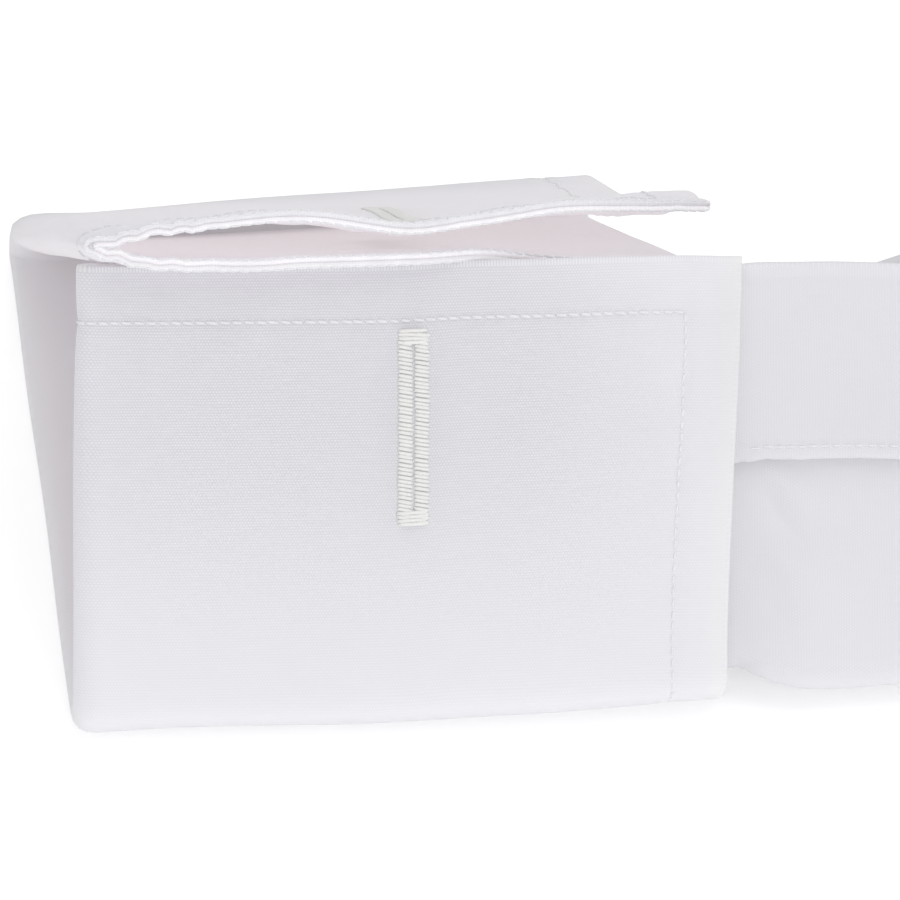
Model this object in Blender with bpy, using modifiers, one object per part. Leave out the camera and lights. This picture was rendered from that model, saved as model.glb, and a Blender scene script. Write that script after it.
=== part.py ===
"""A long sleeve dress shirt with double cuffs, buttoned and laid on its back.

The body lies flat with its panels on each other. Each double cuff stands as a low tent: one end of the
cuff leans up from the surface, and the other end slopes down behind it and rests on its edge.
Lengths in the tables are millimetres; everything in the model is metres.
"""

import math

import bmesh
import bpy
from mathutils import Vector

MM = 0.001

# Driving sizes, in millimetres.
CLOTH_WALL = 1.2
CUFF_WALL = 1.3
STAND_WALL = 1.6
LEAF_WALL = 1.4
SEAM_GAP = 0.3
ARMHOLE_GAP = 0.9
PLACKET_WALL = 1.0
CUFF_DEPTH = 72.0
CUFF_INNER_DEPTH = 68.0
SLEEVE_LENGTH = 640.0
SLEEVE_ANGLE = 35.0
SLIT_END = 205.0
SLIT_CLOSED = 260.0
PLACKET_WIDTH = 21.0
PLACKET_TIP = 9.0
BINDING_WIDTH = 9.0
SHOULDER_X, SHOULDER_Y = 232.0, -38.0
UNDERARM_Y = -262.0
NECK_X = 75.0
YOKE_SEAM_Y = -112.0
YOKE_FRONT_DROP = 38.0
BAND_WIDTH = 34.0
BUTTON_RADIUS = 5.6
BUTTON_THICK = 2.2
BUTTON_COUNT = 6
BUTTON_PITCH = 88.0
FIRST_BUTTON_Y = -152.0
PLAN_SHIFT_Y = 366.724  # puts the middle of the shirt's length at the origin

CLOTH_COLOUR = (0.86, 0.86, 0.88, 1.0)
BUTTON_COLOUR = (0.90, 0.90, 0.88, 1.0)

# Plan outlines of one half, y from the neck point, x from the centre line.
ARMHOLE = {
    "y": (-262, -250, -222, -180, -130, -80, -38),
    "x": (268, 255, 231, 216, 212, 220, 232),
}
SIDE_SEAM = {"y": (-700, -600, -430, -262), "x": (264, 266, 256, 268)}
HEM = {
    "x": (0, 90, 180, 230, 268),
    "front": (-768, -762, -736, -708, -690),
    "back": (-782, -776, -748, -714, -690),
}
FRONT_NECK = {"x": (0, 20, 44, 62, 74, 80), "y": (-89, -86, -76, -60, -44, -34)}
BACK_NECK = {"x": (0, 30, 60, 75), "y": (-15, -13, -6, 0)}

# Sections across one sleeve, seen from its cuff: y runs away from the folded edge and z up.
# a and b are the two edges of the slit, front and back the two folds on the surface, and ridge is where
# the sleeve turns down under the placket.
CUFF_INNER = {
    "u": (0, 18, 36, 43, 50, 56, 62, 68),
    "a_y": (25.8, 25.6, 25.3, 25.0, 24.8, 24.8, 25.0, 25.2),
    "a_z": (43.1, 42.6, 42.0, 41.5, 41.2, 41.3, 41.6, 42.0),
    "front_y": (2.4, 2.4, 2.4, 2.4, 2.5, 2.6, 2.7, 2.9),
    "front_z": (2.4, 2.4, 2.6, 2.8, 3.0, 3.1, 3.2, 3.2),
    "back_y": (87.2, 87.6, 88.2, 88.6, 89, 89.4, 89.7, 90),
    "back_z": (2.4, 2.4, 2.7, 2.9, 3.1, 3.2, 3.3, 3.4),
    "b_y": (22.4, 22.4, 23.3, 25.2, 26.6, 27.2, 27.8, 28.4),
    "b_z": (46.6, 46.1, 45.8, 44.9, 42.9, 41.8, 41.0, 40.2),
    "front_fold": (2.3,) * 8,
    "front_turn": (121,) * 8,
    "back_fold": (2.2,) * 8,
    "back_turn": (76, 76, 75, 75, 74, 74, 74, 74),
}
CUFF_OUTER = {
    "u": (0, 18, 36, 50, 60, 72),
    "a_y": (24.3, 24.3, 24.3, 24.3, 24.3, 24.3),
    "a_z": (44.0, 43.8, 43.6, 43.8, 44.0, 44.2),
    "front_y": (-0.9, -0.9, -0.8, -0.6, -0.3, 0.1),
    "front_z": (0.65, 0.65, 0.7, 0.9, 1.2, 1.5),
    "back_y": (94.6, 95.0, 95.8, 96.7, 97.4, 98.2),
    "back_z": (0.65, 0.65, 0.8, 1.1, 1.4, 1.8),
    "b_y": (24.3, 24.5, 24.4, 27.1, 30.8, 35.9),
    "b_z": (49.9, 50.4, 49.0, 48.9, 47.0, 43.8),
    "front_fold": (4.6,) * 6,
    "front_turn": (121,) * 6,
    "back_fold": (2.8,) * 6,
    "back_turn": (76,) * 6,
}
SLEEVE = {
    "u": (68.3, 68.9, 72.4, 74, 80, 95, 110, 130, 170, 205, 260, 360, 482, 640),
    "a_y": (25.2, 25.2, 25.5, 25.6, 25.7, 25.7, 26, 27, 30, 34, 38, 42, 45, 48),
    "a_z": (42.0, 42.0, 42.6, 42.8, 43.2, 42.4, 39, 33, 19, 11.0, 6.0, 4.6, 4.3, 4.0),
    "front_y": (2.9, 2.9, 2.8, 2.0, 0.6, 1.2, -1, -5, -10, -14, -19, -27, -33, -35),
    "front_z": (3.2, 3.2, 3.3, 2.7, 1.5, 0.9, 0.7, 0.6, 0.6, 0.6, 0.6, 0.6, 0.6, 0.6),
    "back_y": (90, 90, 78, 77, 77, 78, 84, 97, 112, 121, 128, 135, 138, 134),
    "back_z": (3.4, 3.4, 3.4, 3.0, 1.5, 0.8, 0.6, 0.6, 0.6, 0.6, 0.6, 0.6, 0.6, 0.6),
    "ridge_y": (33.5, 33.5, 32.5, 32, 31.5, 31.6, 33, 36, 42, 46, 56, 60, 62, 64),
    "ridge_z": (36.7, 36.7, 35.2, 35, 35, 34, 30, 24, 14, 8.8, 5.4, 4.5, 4.2, 4.0),
    "b_y": (28.4, 28.4, 24, 21, 15, 12, 11, 12, 21, 36.5, 38, 42, 45, 48),
    "b_z": (40.2, 40.2, 26, 20, 12, 8, 6.4, 5.6, 5.0, 6.0, 6.0, 4.6, 4.3, 4.0),
    "front_fold": (2.3, 2.3, 2.3, 2.4) + (2.8,) * 10,
    "front_turn": (121, 121, 121, 120, 119, 115, 108, 100, 92, 90, 90, 90, 90, 90),
    "back_fold": (2.2, 2.2, 2.4, 2.6) + (2.8,) * 10,
    "back_turn": (74, 74, 76, 76, 78, 82, 86, 88) + (90,) * 6,
}
# The collar by angle from the centre front: foot of the stand, fold, and outer edge of the leaf.
COLLAR = {
    "angle": (0, 25, 55, 80, 100, 120, 150, 180),
    "foot_x": (0, 33, 62, 74, 75, 66, 36, 0),
    "foot_y": (-85, -79, -55, -28, -8, 0, -8, -12),
    "foot_z": (5.2, 5.2, 5.0, 4.6, 4.2, 2.6, 1.3, 1.1),
    "fold_x": (0, 33, 62, 74, 76, 68, 38, 0),
    "fold_y": (-66, -61, -44, -22, -4, 8, 13, 14),
    "fold_z": (25, 27, 33, 37, 38, 37, 35, 34),
    "edge_x": (34, 48, 88, 107, 112, 100, 56, 0),
    "edge_y": (-126, -128, -86, -48, -8, 22, 42, 48),
    "edge_z": (7.0, 7.0, 7.0, 7.0, 6.6, 3.0, 1.4, 1.1),
}
STAND_OVERLAP = 9.0  # degrees that each end of the stand runs past the centre front
LEAF_START = 5.0  # degrees from the centre front where the leaf begins

# Steps along the straights and bends of a section, and along the sleeve and the cuff.
ARC_STEPS = 2
CUFF_STEPS = (3, 1, 3, 1, 4)
SLEEVE_STEPS = (3, 1, 3, 1, 3, 2)
CUFF_COLUMNS = sum(CUFF_STEPS) + ARC_STEPS * (len(CUFF_STEPS) - 1)
SLEEVE_COLUMNS = sum(SLEEVE_STEPS) + ARC_STEPS * (len(SLEEVE_STEPS) - 1)
# Distances of the sleeve's rows from its start, and shares or distances of the cuff's.
SLEEVE_ROWS = (
    0, 0.6, 2.0, 4.1, 5.7, 11, 25, 40, 55, 70, 84, 98, 111, 124, 136.7, 166, 206, 285, 380, 475, 571,
)
OUTER_STOPS = (1.0, 0.9, 0.75, 0.6, 0.45, 0.25)
INNER_STOPS = (18, 34, 43, 50, 56, 62, 68)
FOLD_STEPS = 4
# Rows of the body by the height of their side edge, and steps across the back and the yoke.
BODY_SIDES = (
    -690, -630, -530, -420, -320, -262, -249, -236, -220, -200, -178, -156, -134,
    YOKE_SEAM_Y,
)
FRONT_SIDES = BODY_SIDES[:-1] + (-104, SHOULDER_Y - YOKE_FRONT_DROP)
BACK_COLUMNS = 10
YOKE_NECK_COLUMNS = 6
YOKE_SIDE_COLUMNS = 4
YOKE_BACK_ROWS = 3
YOKE_FOLD_ROWS = 3
YOKE_FRONT_ROWS = 2
YOKE_COLUMNS = YOKE_NECK_COLUMNS + 2 * YOKE_SIDE_COLUMNS
YOKE_ROWS = YOKE_BACK_ROWS + YOKE_FOLD_ROWS + YOKE_FRONT_ROWS
FRONT_MID = 2.7  # height of the front layer at the shoulder fold


def smooth(t):
    """0 to 1 with soft ends."""
    t = min(max(t, 0.0), 1.0)
    return t * t * (3 - 2 * t)


def mix(a, b, t):
    return a + (b - a) * t


def read(table, key, column, at):
    """The column of a table at a place between its rows, by cubic Hermite with limited slopes."""
    xs, ys = table[key], table[column]
    if at <= xs[0]:
        return ys[0]
    if at >= xs[-1]:
        return ys[-1]
    i = max(k for k in range(len(xs) - 1) if xs[k] <= at)

    def step(k):
        return (ys[k + 1] - ys[k]) / (xs[k + 1] - xs[k])

    def slope(k):
        if k in (0, len(xs) - 1):
            return step(min(k, len(xs) - 2))
        before, after = step(k - 1), step(k)
        return 0.0 if before * after <= 0 else 2 * before * after / (before + after)

    width = xs[i + 1] - xs[i]
    t = (at - xs[i]) / width
    return (
        (2 * t**3 - 3 * t**2 + 1) * ys[i]
        + (t**3 - 2 * t**2 + t) * width * slope(i)
        + (3 * t**2 - 2 * t**3) * ys[i + 1]
        + (t**3 - t**2) * width * slope(i + 1)
    )


# ---- the tube's cross-section


def tube_corners(table, u):
    """Corners of the section from edge A over the front fold, the surface and the back fold to edge B."""
    value = {key: read(table, "u", key, u) for key in table if key != "u"}
    front = Vector((value["front_y"], value["front_z"]))
    back = Vector((value["back_y"], value["back_z"]))
    front_up = math.radians(value["front_turn"])
    back_up = math.radians(value["back_turn"])
    corners = [
        Vector((value["a_y"], value["a_z"])),
        front + value["front_fold"] * Vector((math.cos(front_up), math.sin(front_up))),
        front,
        back,
        back + value["back_fold"] * Vector((math.cos(back_up), math.sin(back_up))),
    ]
    if "ridge_y" in table:
        corners.append(Vector((value["ridge_y"], value["ridge_z"])))
        if u >= SLIT_CLOSED:
            return corners + [corners[0]]
    return corners + [Vector((value["b_y"], value["b_z"]))]


def rounded(corners, straight_steps):
    """Points along a polyline with its inner corners rounded as far as their neighbours allow."""
    cuts = []
    for before, corner, after in zip(corners, corners[1:], corners[2:]):
        reach = min(0.38 * min((before - corner).length, (after - corner).length), 3.0)
        entry = corner + (before - corner).normalized() * reach
        leave = corner + (after - corner).normalized() * reach
        cuts.append((entry, corner, leave))
    points = []
    start = corners[0]
    for steps, cut in zip(straight_steps, cuts + [None]):
        end = cut[0] if cut else corners[-1]
        points += [start.lerp(end, k / steps) for k in range(steps)]
        if not cut:
            points.append(end)
            break
        for k in range(ARC_STEPS):
            t = k / ARC_STEPS
            points.append(cut[0].lerp(cut[1], t).lerp(cut[1].lerp(cut[2], t), t))
        start = cut[2]
    return points


def ring(table, u):
    """The section's points at a distance u from the wrist fold, edge A first."""
    steps = SLEEVE_STEPS if "ridge_y" in table else CUFF_STEPS
    return rounded(tube_corners(table, u), steps)


def sleeve_frame(side):
    """(origin, along, across) of one sleeve in plan: side is 1 for the wearer's left, -1 for the right."""
    tilt = math.radians(SLEEVE_ANGLE)
    along = Vector((-side * math.cos(tilt), math.sin(tilt), 0))
    across = Vector((side * math.sin(tilt), math.cos(tilt), 0))
    shoulder = Vector((side * SHOULDER_X, SHOULDER_Y, 0))
    shoulder_across = read(SLEEVE, "u", "back_y", SLEEVE_LENGTH) - 2
    return shoulder - along * SLEEVE_LENGTH - across * shoulder_across, along, across


def in_sleeve(side, u, point):
    """A section point (y, z) at u, in the shirt's frame, in millimetres."""
    origin, along, across = sleeve_frame(side)
    return origin + along * u + across * point[0] + Vector((0, 0, point[1]))


# ---- making objects


def clear_scene():
    for item in list(bpy.data.objects):
        bpy.data.objects.remove(item, do_unlink=True)


def make_collection(name):
    made = bpy.data.collections.new(name)
    bpy.context.scene.collection.children.link(made)
    return made


def make_material(name, colour, roughness):
    made = bpy.data.materials.new(name)
    made.use_nodes = True
    shader = made.node_tree.nodes["Principled BSDF"]
    shader.inputs["Base Color"].default_value = colour
    shader.inputs["Roughness"].default_value = roughness
    shader.inputs["Metallic"].default_value = 0.0
    return made


def add_object(name, mesh, material, home):
    mesh.materials.append(material)
    made = bpy.data.objects.new(name, mesh)
    home.objects.link(made)
    return made


def to_metres(point):
    return (point + Vector((0, PLAN_SHIFT_Y, 0))) * MM


def cloth(name, place, columns, rows, wall, material, home, drop=None, weld=False):
    """A wall of cloth: a plain grid whose vertices are put where place(column, row) says, then thickened.

    drop(column, row) names the faces to leave out, and weld joins vertices that meet.
    """
    bm = bmesh.new()
    bmesh.ops.create_grid(bm, x_segments=columns, y_segments=rows, size=1)
    bm.verts.ensure_lookup_table()
    where = {}
    for vert in bm.verts:
        column = round((vert.co.x + 1) / 2 * columns)
        row = round((vert.co.y + 1) / 2 * rows)
        where[vert] = (column, row)
    if drop:
        doomed = []
        for face in bm.faces:
            column = min(where[v][0] for v in face.verts)
            row = min(where[v][1] for v in face.verts)
            if drop(column, row):
                doomed.append(face)
        bmesh.ops.delete(bm, geom=doomed, context="FACES")
    for vert in bm.verts:
        vert.co = to_metres(place(*where[vert]))
    if weld:
        bmesh.ops.remove_doubles(bm, verts=bm.verts, dist=0.00002)
    mesh = bpy.data.meshes.new(name)
    bm.to_mesh(mesh)
    bm.free()
    mesh.shade_smooth()
    made = add_object(name, mesh, material, home)
    thicken = made.modifiers.new("wall", "SOLIDIFY")
    thicken.thickness = wall * MM
    thicken.offset = 0
    return made


# ---- sleeves, plackets and cuffs


def armhole_x(y):
    return read(ARMHOLE, "y", "x", y)


def sleeve_end(side, column):
    """How far from the cuff the sleeve reaches at one column of its ring: to the armhole's curve."""
    u = 500.0
    for _ in range(30):
        place = in_sleeve(side, u, ring(SLEEVE, u)[column])
        want = armhole_x(place.y) + ARMHOLE_GAP
        want += 1.1 * max(UNDERARM_Y - place.y, 0) + 0.3 * max(place.y - SHOULDER_Y, 0)
        u += 0.6 * (abs(place.x) - want) / math.cos(math.radians(SLEEVE_ANGLE))
    return u


def sleeve_point(side):
    """place(column, row) of one sleeve, from the cuff's inner layer to the armhole."""
    start = CUFF_INNER_DEPTH + SEAM_GAP
    ends = [sleeve_end(side, column) for column in range(SLEEVE_COLUMNS + 1)]
    last = SLEEVE_ROWS[-1]
    free = SLIT_END - start

    def place(column, row):
        step = SLEEVE_ROWS[row]
        if step <= free:
            u = start + step
        else:
            u = SLIT_END + (ends[column] - SLIT_END) * (step - free) / (last - free)
        return in_sleeve(side, u, ring(SLEEVE, u)[column])

    return place


def lifted(side, u, reach, lift, from_b=False):
    """A point on the sleeve at a distance reach from an edge of the slit, moved out by lift."""
    corners = tube_corners(SLEEVE, u)
    edge, toward = (corners[-1], corners[-2]) if from_b else (corners[0], corners[1])
    direction = (toward - edge).normalized()
    out = Vector((-direction.y, direction.x)) if from_b else Vector((direction.y, -direction.x))
    return in_sleeve(side, u, edge + direction * reach + out * lift)


def add_sleeve(side, word, material, home):
    cloth(
        f"{word}_sleeve", sleeve_point(side), SLEEVE_COLUMNS, len(SLEEVE_ROWS) - 1,
        CLOTH_WALL, material, home, weld=True,
    )
    lift = (CLOTH_WALL + PLACKET_WALL) / 2 + SEAM_GAP + 0.15
    stops = [CUFF_INNER_DEPTH + SEAM_GAP + step for step in SLEEVE_ROWS]
    stops = [CUFF_DEPTH + SEAM_GAP] + [u for u in stops if CUFF_DEPTH + 1 < u <= SLIT_END]

    def placket(column, row):
        share = column / 3
        u = stops[row] - (PLACKET_TIP * abs(2 * share - 1) if row == len(stops) - 1 else 0)
        twist = 0.35 * smooth((u - 110) / 30)
        return lifted(side, u, 0.3 + share * (PLACKET_WIDTH - 0.3), lift + twist)

    cloth(f"{word}_sleeve_placket", placket, 3, len(stops) - 1, PLACKET_WALL, material, home)

    def binding(column, row):
        reach = 0.6 + column / 2 * BINDING_WIDTH
        return lifted(side, stops[row + 3], reach, lift + 0.5, from_b=True)

    cloth(f"{word}_sleeve_binding", binding, 2, len(stops) - 6, PLACKET_WALL, material, home)


def turn_back_depth(column):
    """The turned-back layer is a little shallower where it bends round the folds."""
    first = CUFF_STEPS[0]
    return CUFF_DEPTH - 1.7 * smooth(column / first) + 0.3 * smooth((column - first) / 8)


def flap_drop(column, u):
    """How far the turn-back hangs between its corners at its free end, where it slopes down behind."""
    share = (column - CUFF_COLUMNS + CUFF_STEPS[-1]) / CUFF_STEPS[-1]
    if share <= 0:
        return 0.0
    dip = 2.6 * math.sin(math.pi * share) - 1.5 * math.sin(math.pi * smooth((share - 0.66) / 0.34))
    return dip * smooth((u - 34) / 38)


def cuff_point(side):
    """place(column, row) of one double cuff, from the free end of the turn-back round the wrist fold."""
    outer_count = len(OUTER_STOPS)

    def place(column, row):
        if row < outer_count:
            u = OUTER_STOPS[row] * turn_back_depth(column)
            point = ring(CUFF_OUTER, u)[column] - Vector((0, flap_drop(column, u)))
            return in_sleeve(side, u, point)
        if row > outer_count + FOLD_STEPS:
            u = INNER_STOPS[row - outer_count - FOLD_STEPS - 1]
            return in_sleeve(side, u, ring(CUFF_INNER, u)[column])
        turn = math.pi * (row - outer_count) / FOLD_STEPS
        outer, inner = ring(CUFF_OUTER, 0)[column], ring(CUFF_INNER, 0)[column]
        middle, half = (outer + inner) / 2, (outer - inner) / 2
        u = half.length * (1 - math.sin(turn))
        return in_sleeve(side, u, middle + half * math.cos(turn))

    return place


def add_cuff(side, word, material, home):
    rows = len(OUTER_STOPS) + FOLD_STEPS + len(INNER_STOPS)
    cloth(f"{word}_cuff", cuff_point(side), CUFF_COLUMNS, rows, CUFF_WALL, material, home)


# ---- body


def body_x(y):
    """Half width of the body at a height, with the armhole cut away."""
    if y < UNDERARM_Y:
        return read(SIDE_SEAM, "y", "x", y)
    return armhole_x(y)


def front_height(x, y):
    """Middle of the front layer above the surface: close to the back at the edges, with soft swells."""
    inward = body_x(y) - abs(x)
    crown = smooth(inward / 70)
    swell = 0.5 * math.sin(x / 47 + 0.9) * math.sin(y / 83) + 0.5 * math.cos((x + 1.6 * y) / 61)
    return 2.2 + crown * (0.9 + 0.6 * swell)


def front_point(side, inner_x):
    """place(column, row) of one front, from its edge at the centre to the side seam."""
    columns = 7

    def place(column, row):
        share = column / columns
        side_y = FRONT_SIDES[row]
        rise = (side_y - FRONT_SIDES[0]) / (FRONT_SIDES[-1] - FRONT_SIDES[0])
        x = mix(inner_x, body_x(side_y), share)
        reach = max(abs(x), 0.0)
        if reach < FRONT_NECK["x"][-1]:
            top = read(FRONT_NECK, "x", "y", reach)
        else:
            outer = FRONT_NECK["x"][-1]
            slide = (reach - outer) / (body_x(SHOULDER_Y - YOKE_FRONT_DROP) - outer)
            top = mix(FRONT_NECK["y"][-1], SHOULDER_Y - YOKE_FRONT_DROP, slide)
        bottom = read(HEM, "x", "front", reach)
        y = mix(bottom, top - 1.0, rise)
        y = mix(y, side_y - 1.0 * rise, smooth((share - 0.7) / 0.3))
        return Vector((side * x, y, front_height(side * x, y)))

    return place, columns


def back_place(column, row):
    """The back panel, flat on the surface."""
    share = column / BACK_COLUMNS * 2 - 1
    side_y = BODY_SIDES[row]
    rise = (side_y - BODY_SIDES[0]) / (BODY_SIDES[-1] - BODY_SIDES[0])
    x = share * body_x(side_y)
    bottom = read(HEM, "x", "back", abs(x))
    y = mix(bottom, YOKE_SEAM_Y, rise)
    y = mix(y, side_y, smooth((abs(share) - 0.7) / 0.3))
    return Vector((x, y, CLOTH_WALL / 2))


def shoulder_y(x):
    """The fold of the shoulder, or the back neckline between the neck points."""
    if x < NECK_X:
        return read(BACK_NECK, "x", "y", x)
    return SHOULDER_Y * (x - NECK_X) / (SHOULDER_X - NECK_X)


def yoke_place(column, row):
    """The yoke: flat under the neck and the shoulders, folded over the shoulders to its front seams."""
    middle = YOKE_COLUMNS / 2
    beyond = abs(column - middle) - YOKE_NECK_COLUMNS / 2
    side = 1 if column > middle else -1
    share = beyond / YOKE_SIDE_COLUMNS
    if beyond <= 0:
        top_x = NECK_X * abs(column - middle) / (YOKE_NECK_COLUMNS / 2)
    else:
        top_x = mix(NECK_X, SHOULDER_X, share)
    top = shoulder_y(top_x)
    low = YOKE_SEAM_Y + SEAM_GAP
    if row <= YOKE_BACK_ROWS:
        y = mix(low, top, row / YOKE_BACK_ROWS)
        x = mix(NECK_X, armhole_x(y), share) if beyond > 0 else top_x
        return Vector((side * x, y, CLOTH_WALL / 2))
    lift = FRONT_MID - CLOTH_WALL / 2
    if row <= YOKE_BACK_ROWS + YOKE_FOLD_ROWS:
        turn = math.pi * (row - YOKE_BACK_ROWS) / YOKE_FOLD_ROWS
        y = top + lift / 2 * math.sin(turn)
        return Vector((side * top_x, y, CLOTH_WALL / 2 + lift / 2 * (1 - math.cos(turn))))
    drop = (row - YOKE_BACK_ROWS - YOKE_FOLD_ROWS) / YOKE_FRONT_ROWS
    y = mix(top, mix(FRONT_NECK["y"][-1], SHOULDER_Y - YOKE_FRONT_DROP, max(share, 0)), drop)
    neck = mix(NECK_X, FRONT_NECK["x"][-1], drop)
    x = mix(neck, armhole_x(y), max(share, 0))
    height = mix(FRONT_MID, front_height(x, y), drop)
    return Vector((side * x, y, height))


def yoke_drop(column, row):
    """Leaves out the yoke's faces inside the neck, past the back neckline."""
    return (
        row >= YOKE_BACK_ROWS
        and YOKE_SIDE_COLUMNS <= column < YOKE_SIDE_COLUMNS + YOKE_NECK_COLUMNS
    )


def band_height(y):
    return max(front_height(x, y) for x in (-17, -8, 0, 8, 17)) + CLOTH_WALL + SEAM_GAP


def add_body(material, home):
    cloth("back", back_place, BACK_COLUMNS, len(BODY_SIDES) - 1, CLOTH_WALL, material, home)
    cloth(
        "yoke", yoke_place, YOKE_COLUMNS, YOKE_ROWS, CLOTH_WALL, material, home, drop=yoke_drop
    )
    half_band = BAND_WIDTH / 2
    place, columns = front_point(1, half_band + SEAM_GAP)
    cloth("left_front", place, columns, len(FRONT_SIDES) - 1, CLOTH_WALL, material, home)
    # The right front runs on under the band, to just short of the left front's edge.
    under = -(half_band - SEAM_GAP)
    place, columns = front_point(-1, under)
    cloth("right_front", place, columns, len(FRONT_SIDES) - 1, CLOTH_WALL, material, home)

    def band(column, row):
        x = mix(-half_band, half_band, column / 2)
        y = mix(HEM["front"][0], FRONT_NECK["y"][0] - 1, row / 16)
        return Vector((x, y, band_height(y)))

    cloth("front_placket", band, 2, 16, CLOTH_WALL, material, home)


# ---- collar


def collar_point(part, angle):
    """A point of the collar's foot, fold or edge at an angle from the centre front, round both sides."""
    turn = (angle + 180) % 360 - 180
    side = 1 if turn >= 0 else -1
    x, y, z = (read(COLLAR, "angle", f"{part}_{axis}", abs(turn)) for axis in "xyz")
    if part != "edge" and abs(turn) < 25:
        x = 33 * math.sin(math.radians(abs(turn))) / math.sin(math.radians(25))
    return Vector((side * x, y, z))


def add_collar(material, home):
    columns, first, last = 38, -STAND_OVERLAP, 360 + STAND_OVERLAP

    def stand(column, row):
        angle = mix(first, last, column / columns)
        point = collar_point("foot", angle).lerp(collar_point("fold", angle), row / 2)
        over = 1 - smooth((angle - STAND_OVERLAP - 3) / 14)
        point += Vector((0, -0.72, 0.69)) * (STAND_WALL + SEAM_GAP + 0.2) * over
        return point

    cloth("collar_stand", stand, columns, 2, STAND_WALL, material, home)

    lift = STAND_WALL + SEAM_GAP + 0.4

    def leaf(column, row):
        angle = mix(LEAF_START, 360 - LEAF_START, column / columns)
        fold, foot = collar_point("fold", angle), collar_point("foot", angle)
        edge = collar_point("edge", angle)
        up = (fold - foot).normalized()
        out = (edge - fold).normalized()
        shoulder = (up + out).normalized()
        over = 1 - smooth((min(angle, 360 - angle) - STAND_OVERLAP - 3) / 14)
        extra = Vector((0, -0.72, 0.69)) * (STAND_WALL + SEAM_GAP + 0.2) * over
        if row == 0:
            return fold + up * lift + extra
        if row == 1:
            return fold + shoulder * (lift + 0.9) + extra
        share = (row - 1) / 4
        clear = fold + out * lift * 1.2 + up * 0.6
        bow = Vector((0, 0, 3.0)) * math.sin(math.pi * share)
        return clear.lerp(edge, share) + bow + extra * (1 - share)

    cloth("collar_leaf", leaf, columns, 5, LEAF_WALL, material, home)


# ---- buttons


def add_button(name, centre, tilt, material, home):
    bm = bmesh.new()
    bmesh.ops.create_cone(
        bm, cap_ends=True, segments=16, radius1=BUTTON_RADIUS * MM,
        radius2=BUTTON_RADIUS * MM, depth=BUTTON_THICK * MM,
    )
    mesh = bpy.data.meshes.new(name)
    bm.to_mesh(mesh)
    bm.free()
    made = add_object(name, mesh, material, home)
    made.location = to_metres(centre)
    made.rotation_euler = (tilt, 0, 0)
    return made


def add_buttons(material, home):
    rise = CLOTH_WALL / 2 + SEAM_GAP + BUTTON_THICK / 2
    for index in range(BUTTON_COUNT):
        y = FIRST_BUTTON_Y - index * BUTTON_PITCH
        add_button(
            f"button_{index + 1}", Vector((0, y, band_height(y) + rise + 0.1)), 0, material, home
        )
    foot, fold = collar_point("foot", 0), collar_point("fold", 0)
    up = (fold - foot).normalized()
    out = Vector((0, -up.z, up.y))
    over = STAND_WALL + SEAM_GAP + 0.2
    centre = foot.lerp(fold, 0.5) + out * (over + STAND_WALL / 2 + SEAM_GAP + BUTTON_THICK / 2 + 0.2)
    add_button("collar_button", centre, math.atan2(up.z, up.y), material, home)


def main():
    clear_scene()
    home = make_collection("dress_shirt")
    poplin = make_material("white_poplin", CLOTH_COLOUR, 0.85)
    pearl = make_material("pearl_button", BUTTON_COLOUR, 0.3)
    add_body(poplin, home)
    add_collar(poplin, home)
    for side, word in ((1, "left"), (-1, "right")):
        add_sleeve(side, word, poplin, home)
        add_cuff(side, word, poplin, home)
    add_buttons(pearl, home)


main()
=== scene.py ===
import math

import bmesh
import bpy
import numpy as np
from mathutils import Matrix, Vector


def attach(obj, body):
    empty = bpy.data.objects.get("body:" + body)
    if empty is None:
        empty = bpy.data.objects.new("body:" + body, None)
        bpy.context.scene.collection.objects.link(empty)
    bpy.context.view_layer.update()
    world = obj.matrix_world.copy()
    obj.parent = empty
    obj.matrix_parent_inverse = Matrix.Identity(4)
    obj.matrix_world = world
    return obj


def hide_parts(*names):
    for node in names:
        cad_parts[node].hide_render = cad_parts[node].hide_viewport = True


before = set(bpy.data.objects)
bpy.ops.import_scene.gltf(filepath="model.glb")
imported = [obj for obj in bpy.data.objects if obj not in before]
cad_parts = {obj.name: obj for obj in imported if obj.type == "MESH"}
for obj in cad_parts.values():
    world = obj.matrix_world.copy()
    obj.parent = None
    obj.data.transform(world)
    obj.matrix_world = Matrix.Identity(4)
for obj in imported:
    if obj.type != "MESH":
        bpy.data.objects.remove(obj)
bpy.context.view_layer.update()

mm = 0.001
chance = np.random.default_rng(24)


planShift = 366.724
armhole = {
    "y": (-262, -250, -222, -180, -130, -80, -38),
    "x": (268, 255, 231, 216, 212, 220, 232),
}
sideSeam = {"y": (-700, -600, -430, -262), "x": (264, 266, 256, 268)}
hem = {
    "x": (0, 90, 180, 230, 268),
    "front": (-768, -762, -736, -708, -690),
    "back": (-782, -776, -748, -714, -690),
}
frontNeck = {"x": (0, 20, 44, 62, 74, 80), "y": (-89, -86, -76, -60, -44, -34)}
backNeck = {"x": (0, 30, 60, 75), "y": (-15, -13, -6, 0)}
shoulder = {"x": 232, "y": -38}
underarmY = -262
yokeSeamY = -112
neckX = 75
seamGap = 0.3


def smooth(t):
    t = np.clip(t, 0.0, 1.0)
    return t * t * (3 - 2 * t)


def mix(a, b, t):
    return a + (b - a) * t


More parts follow.
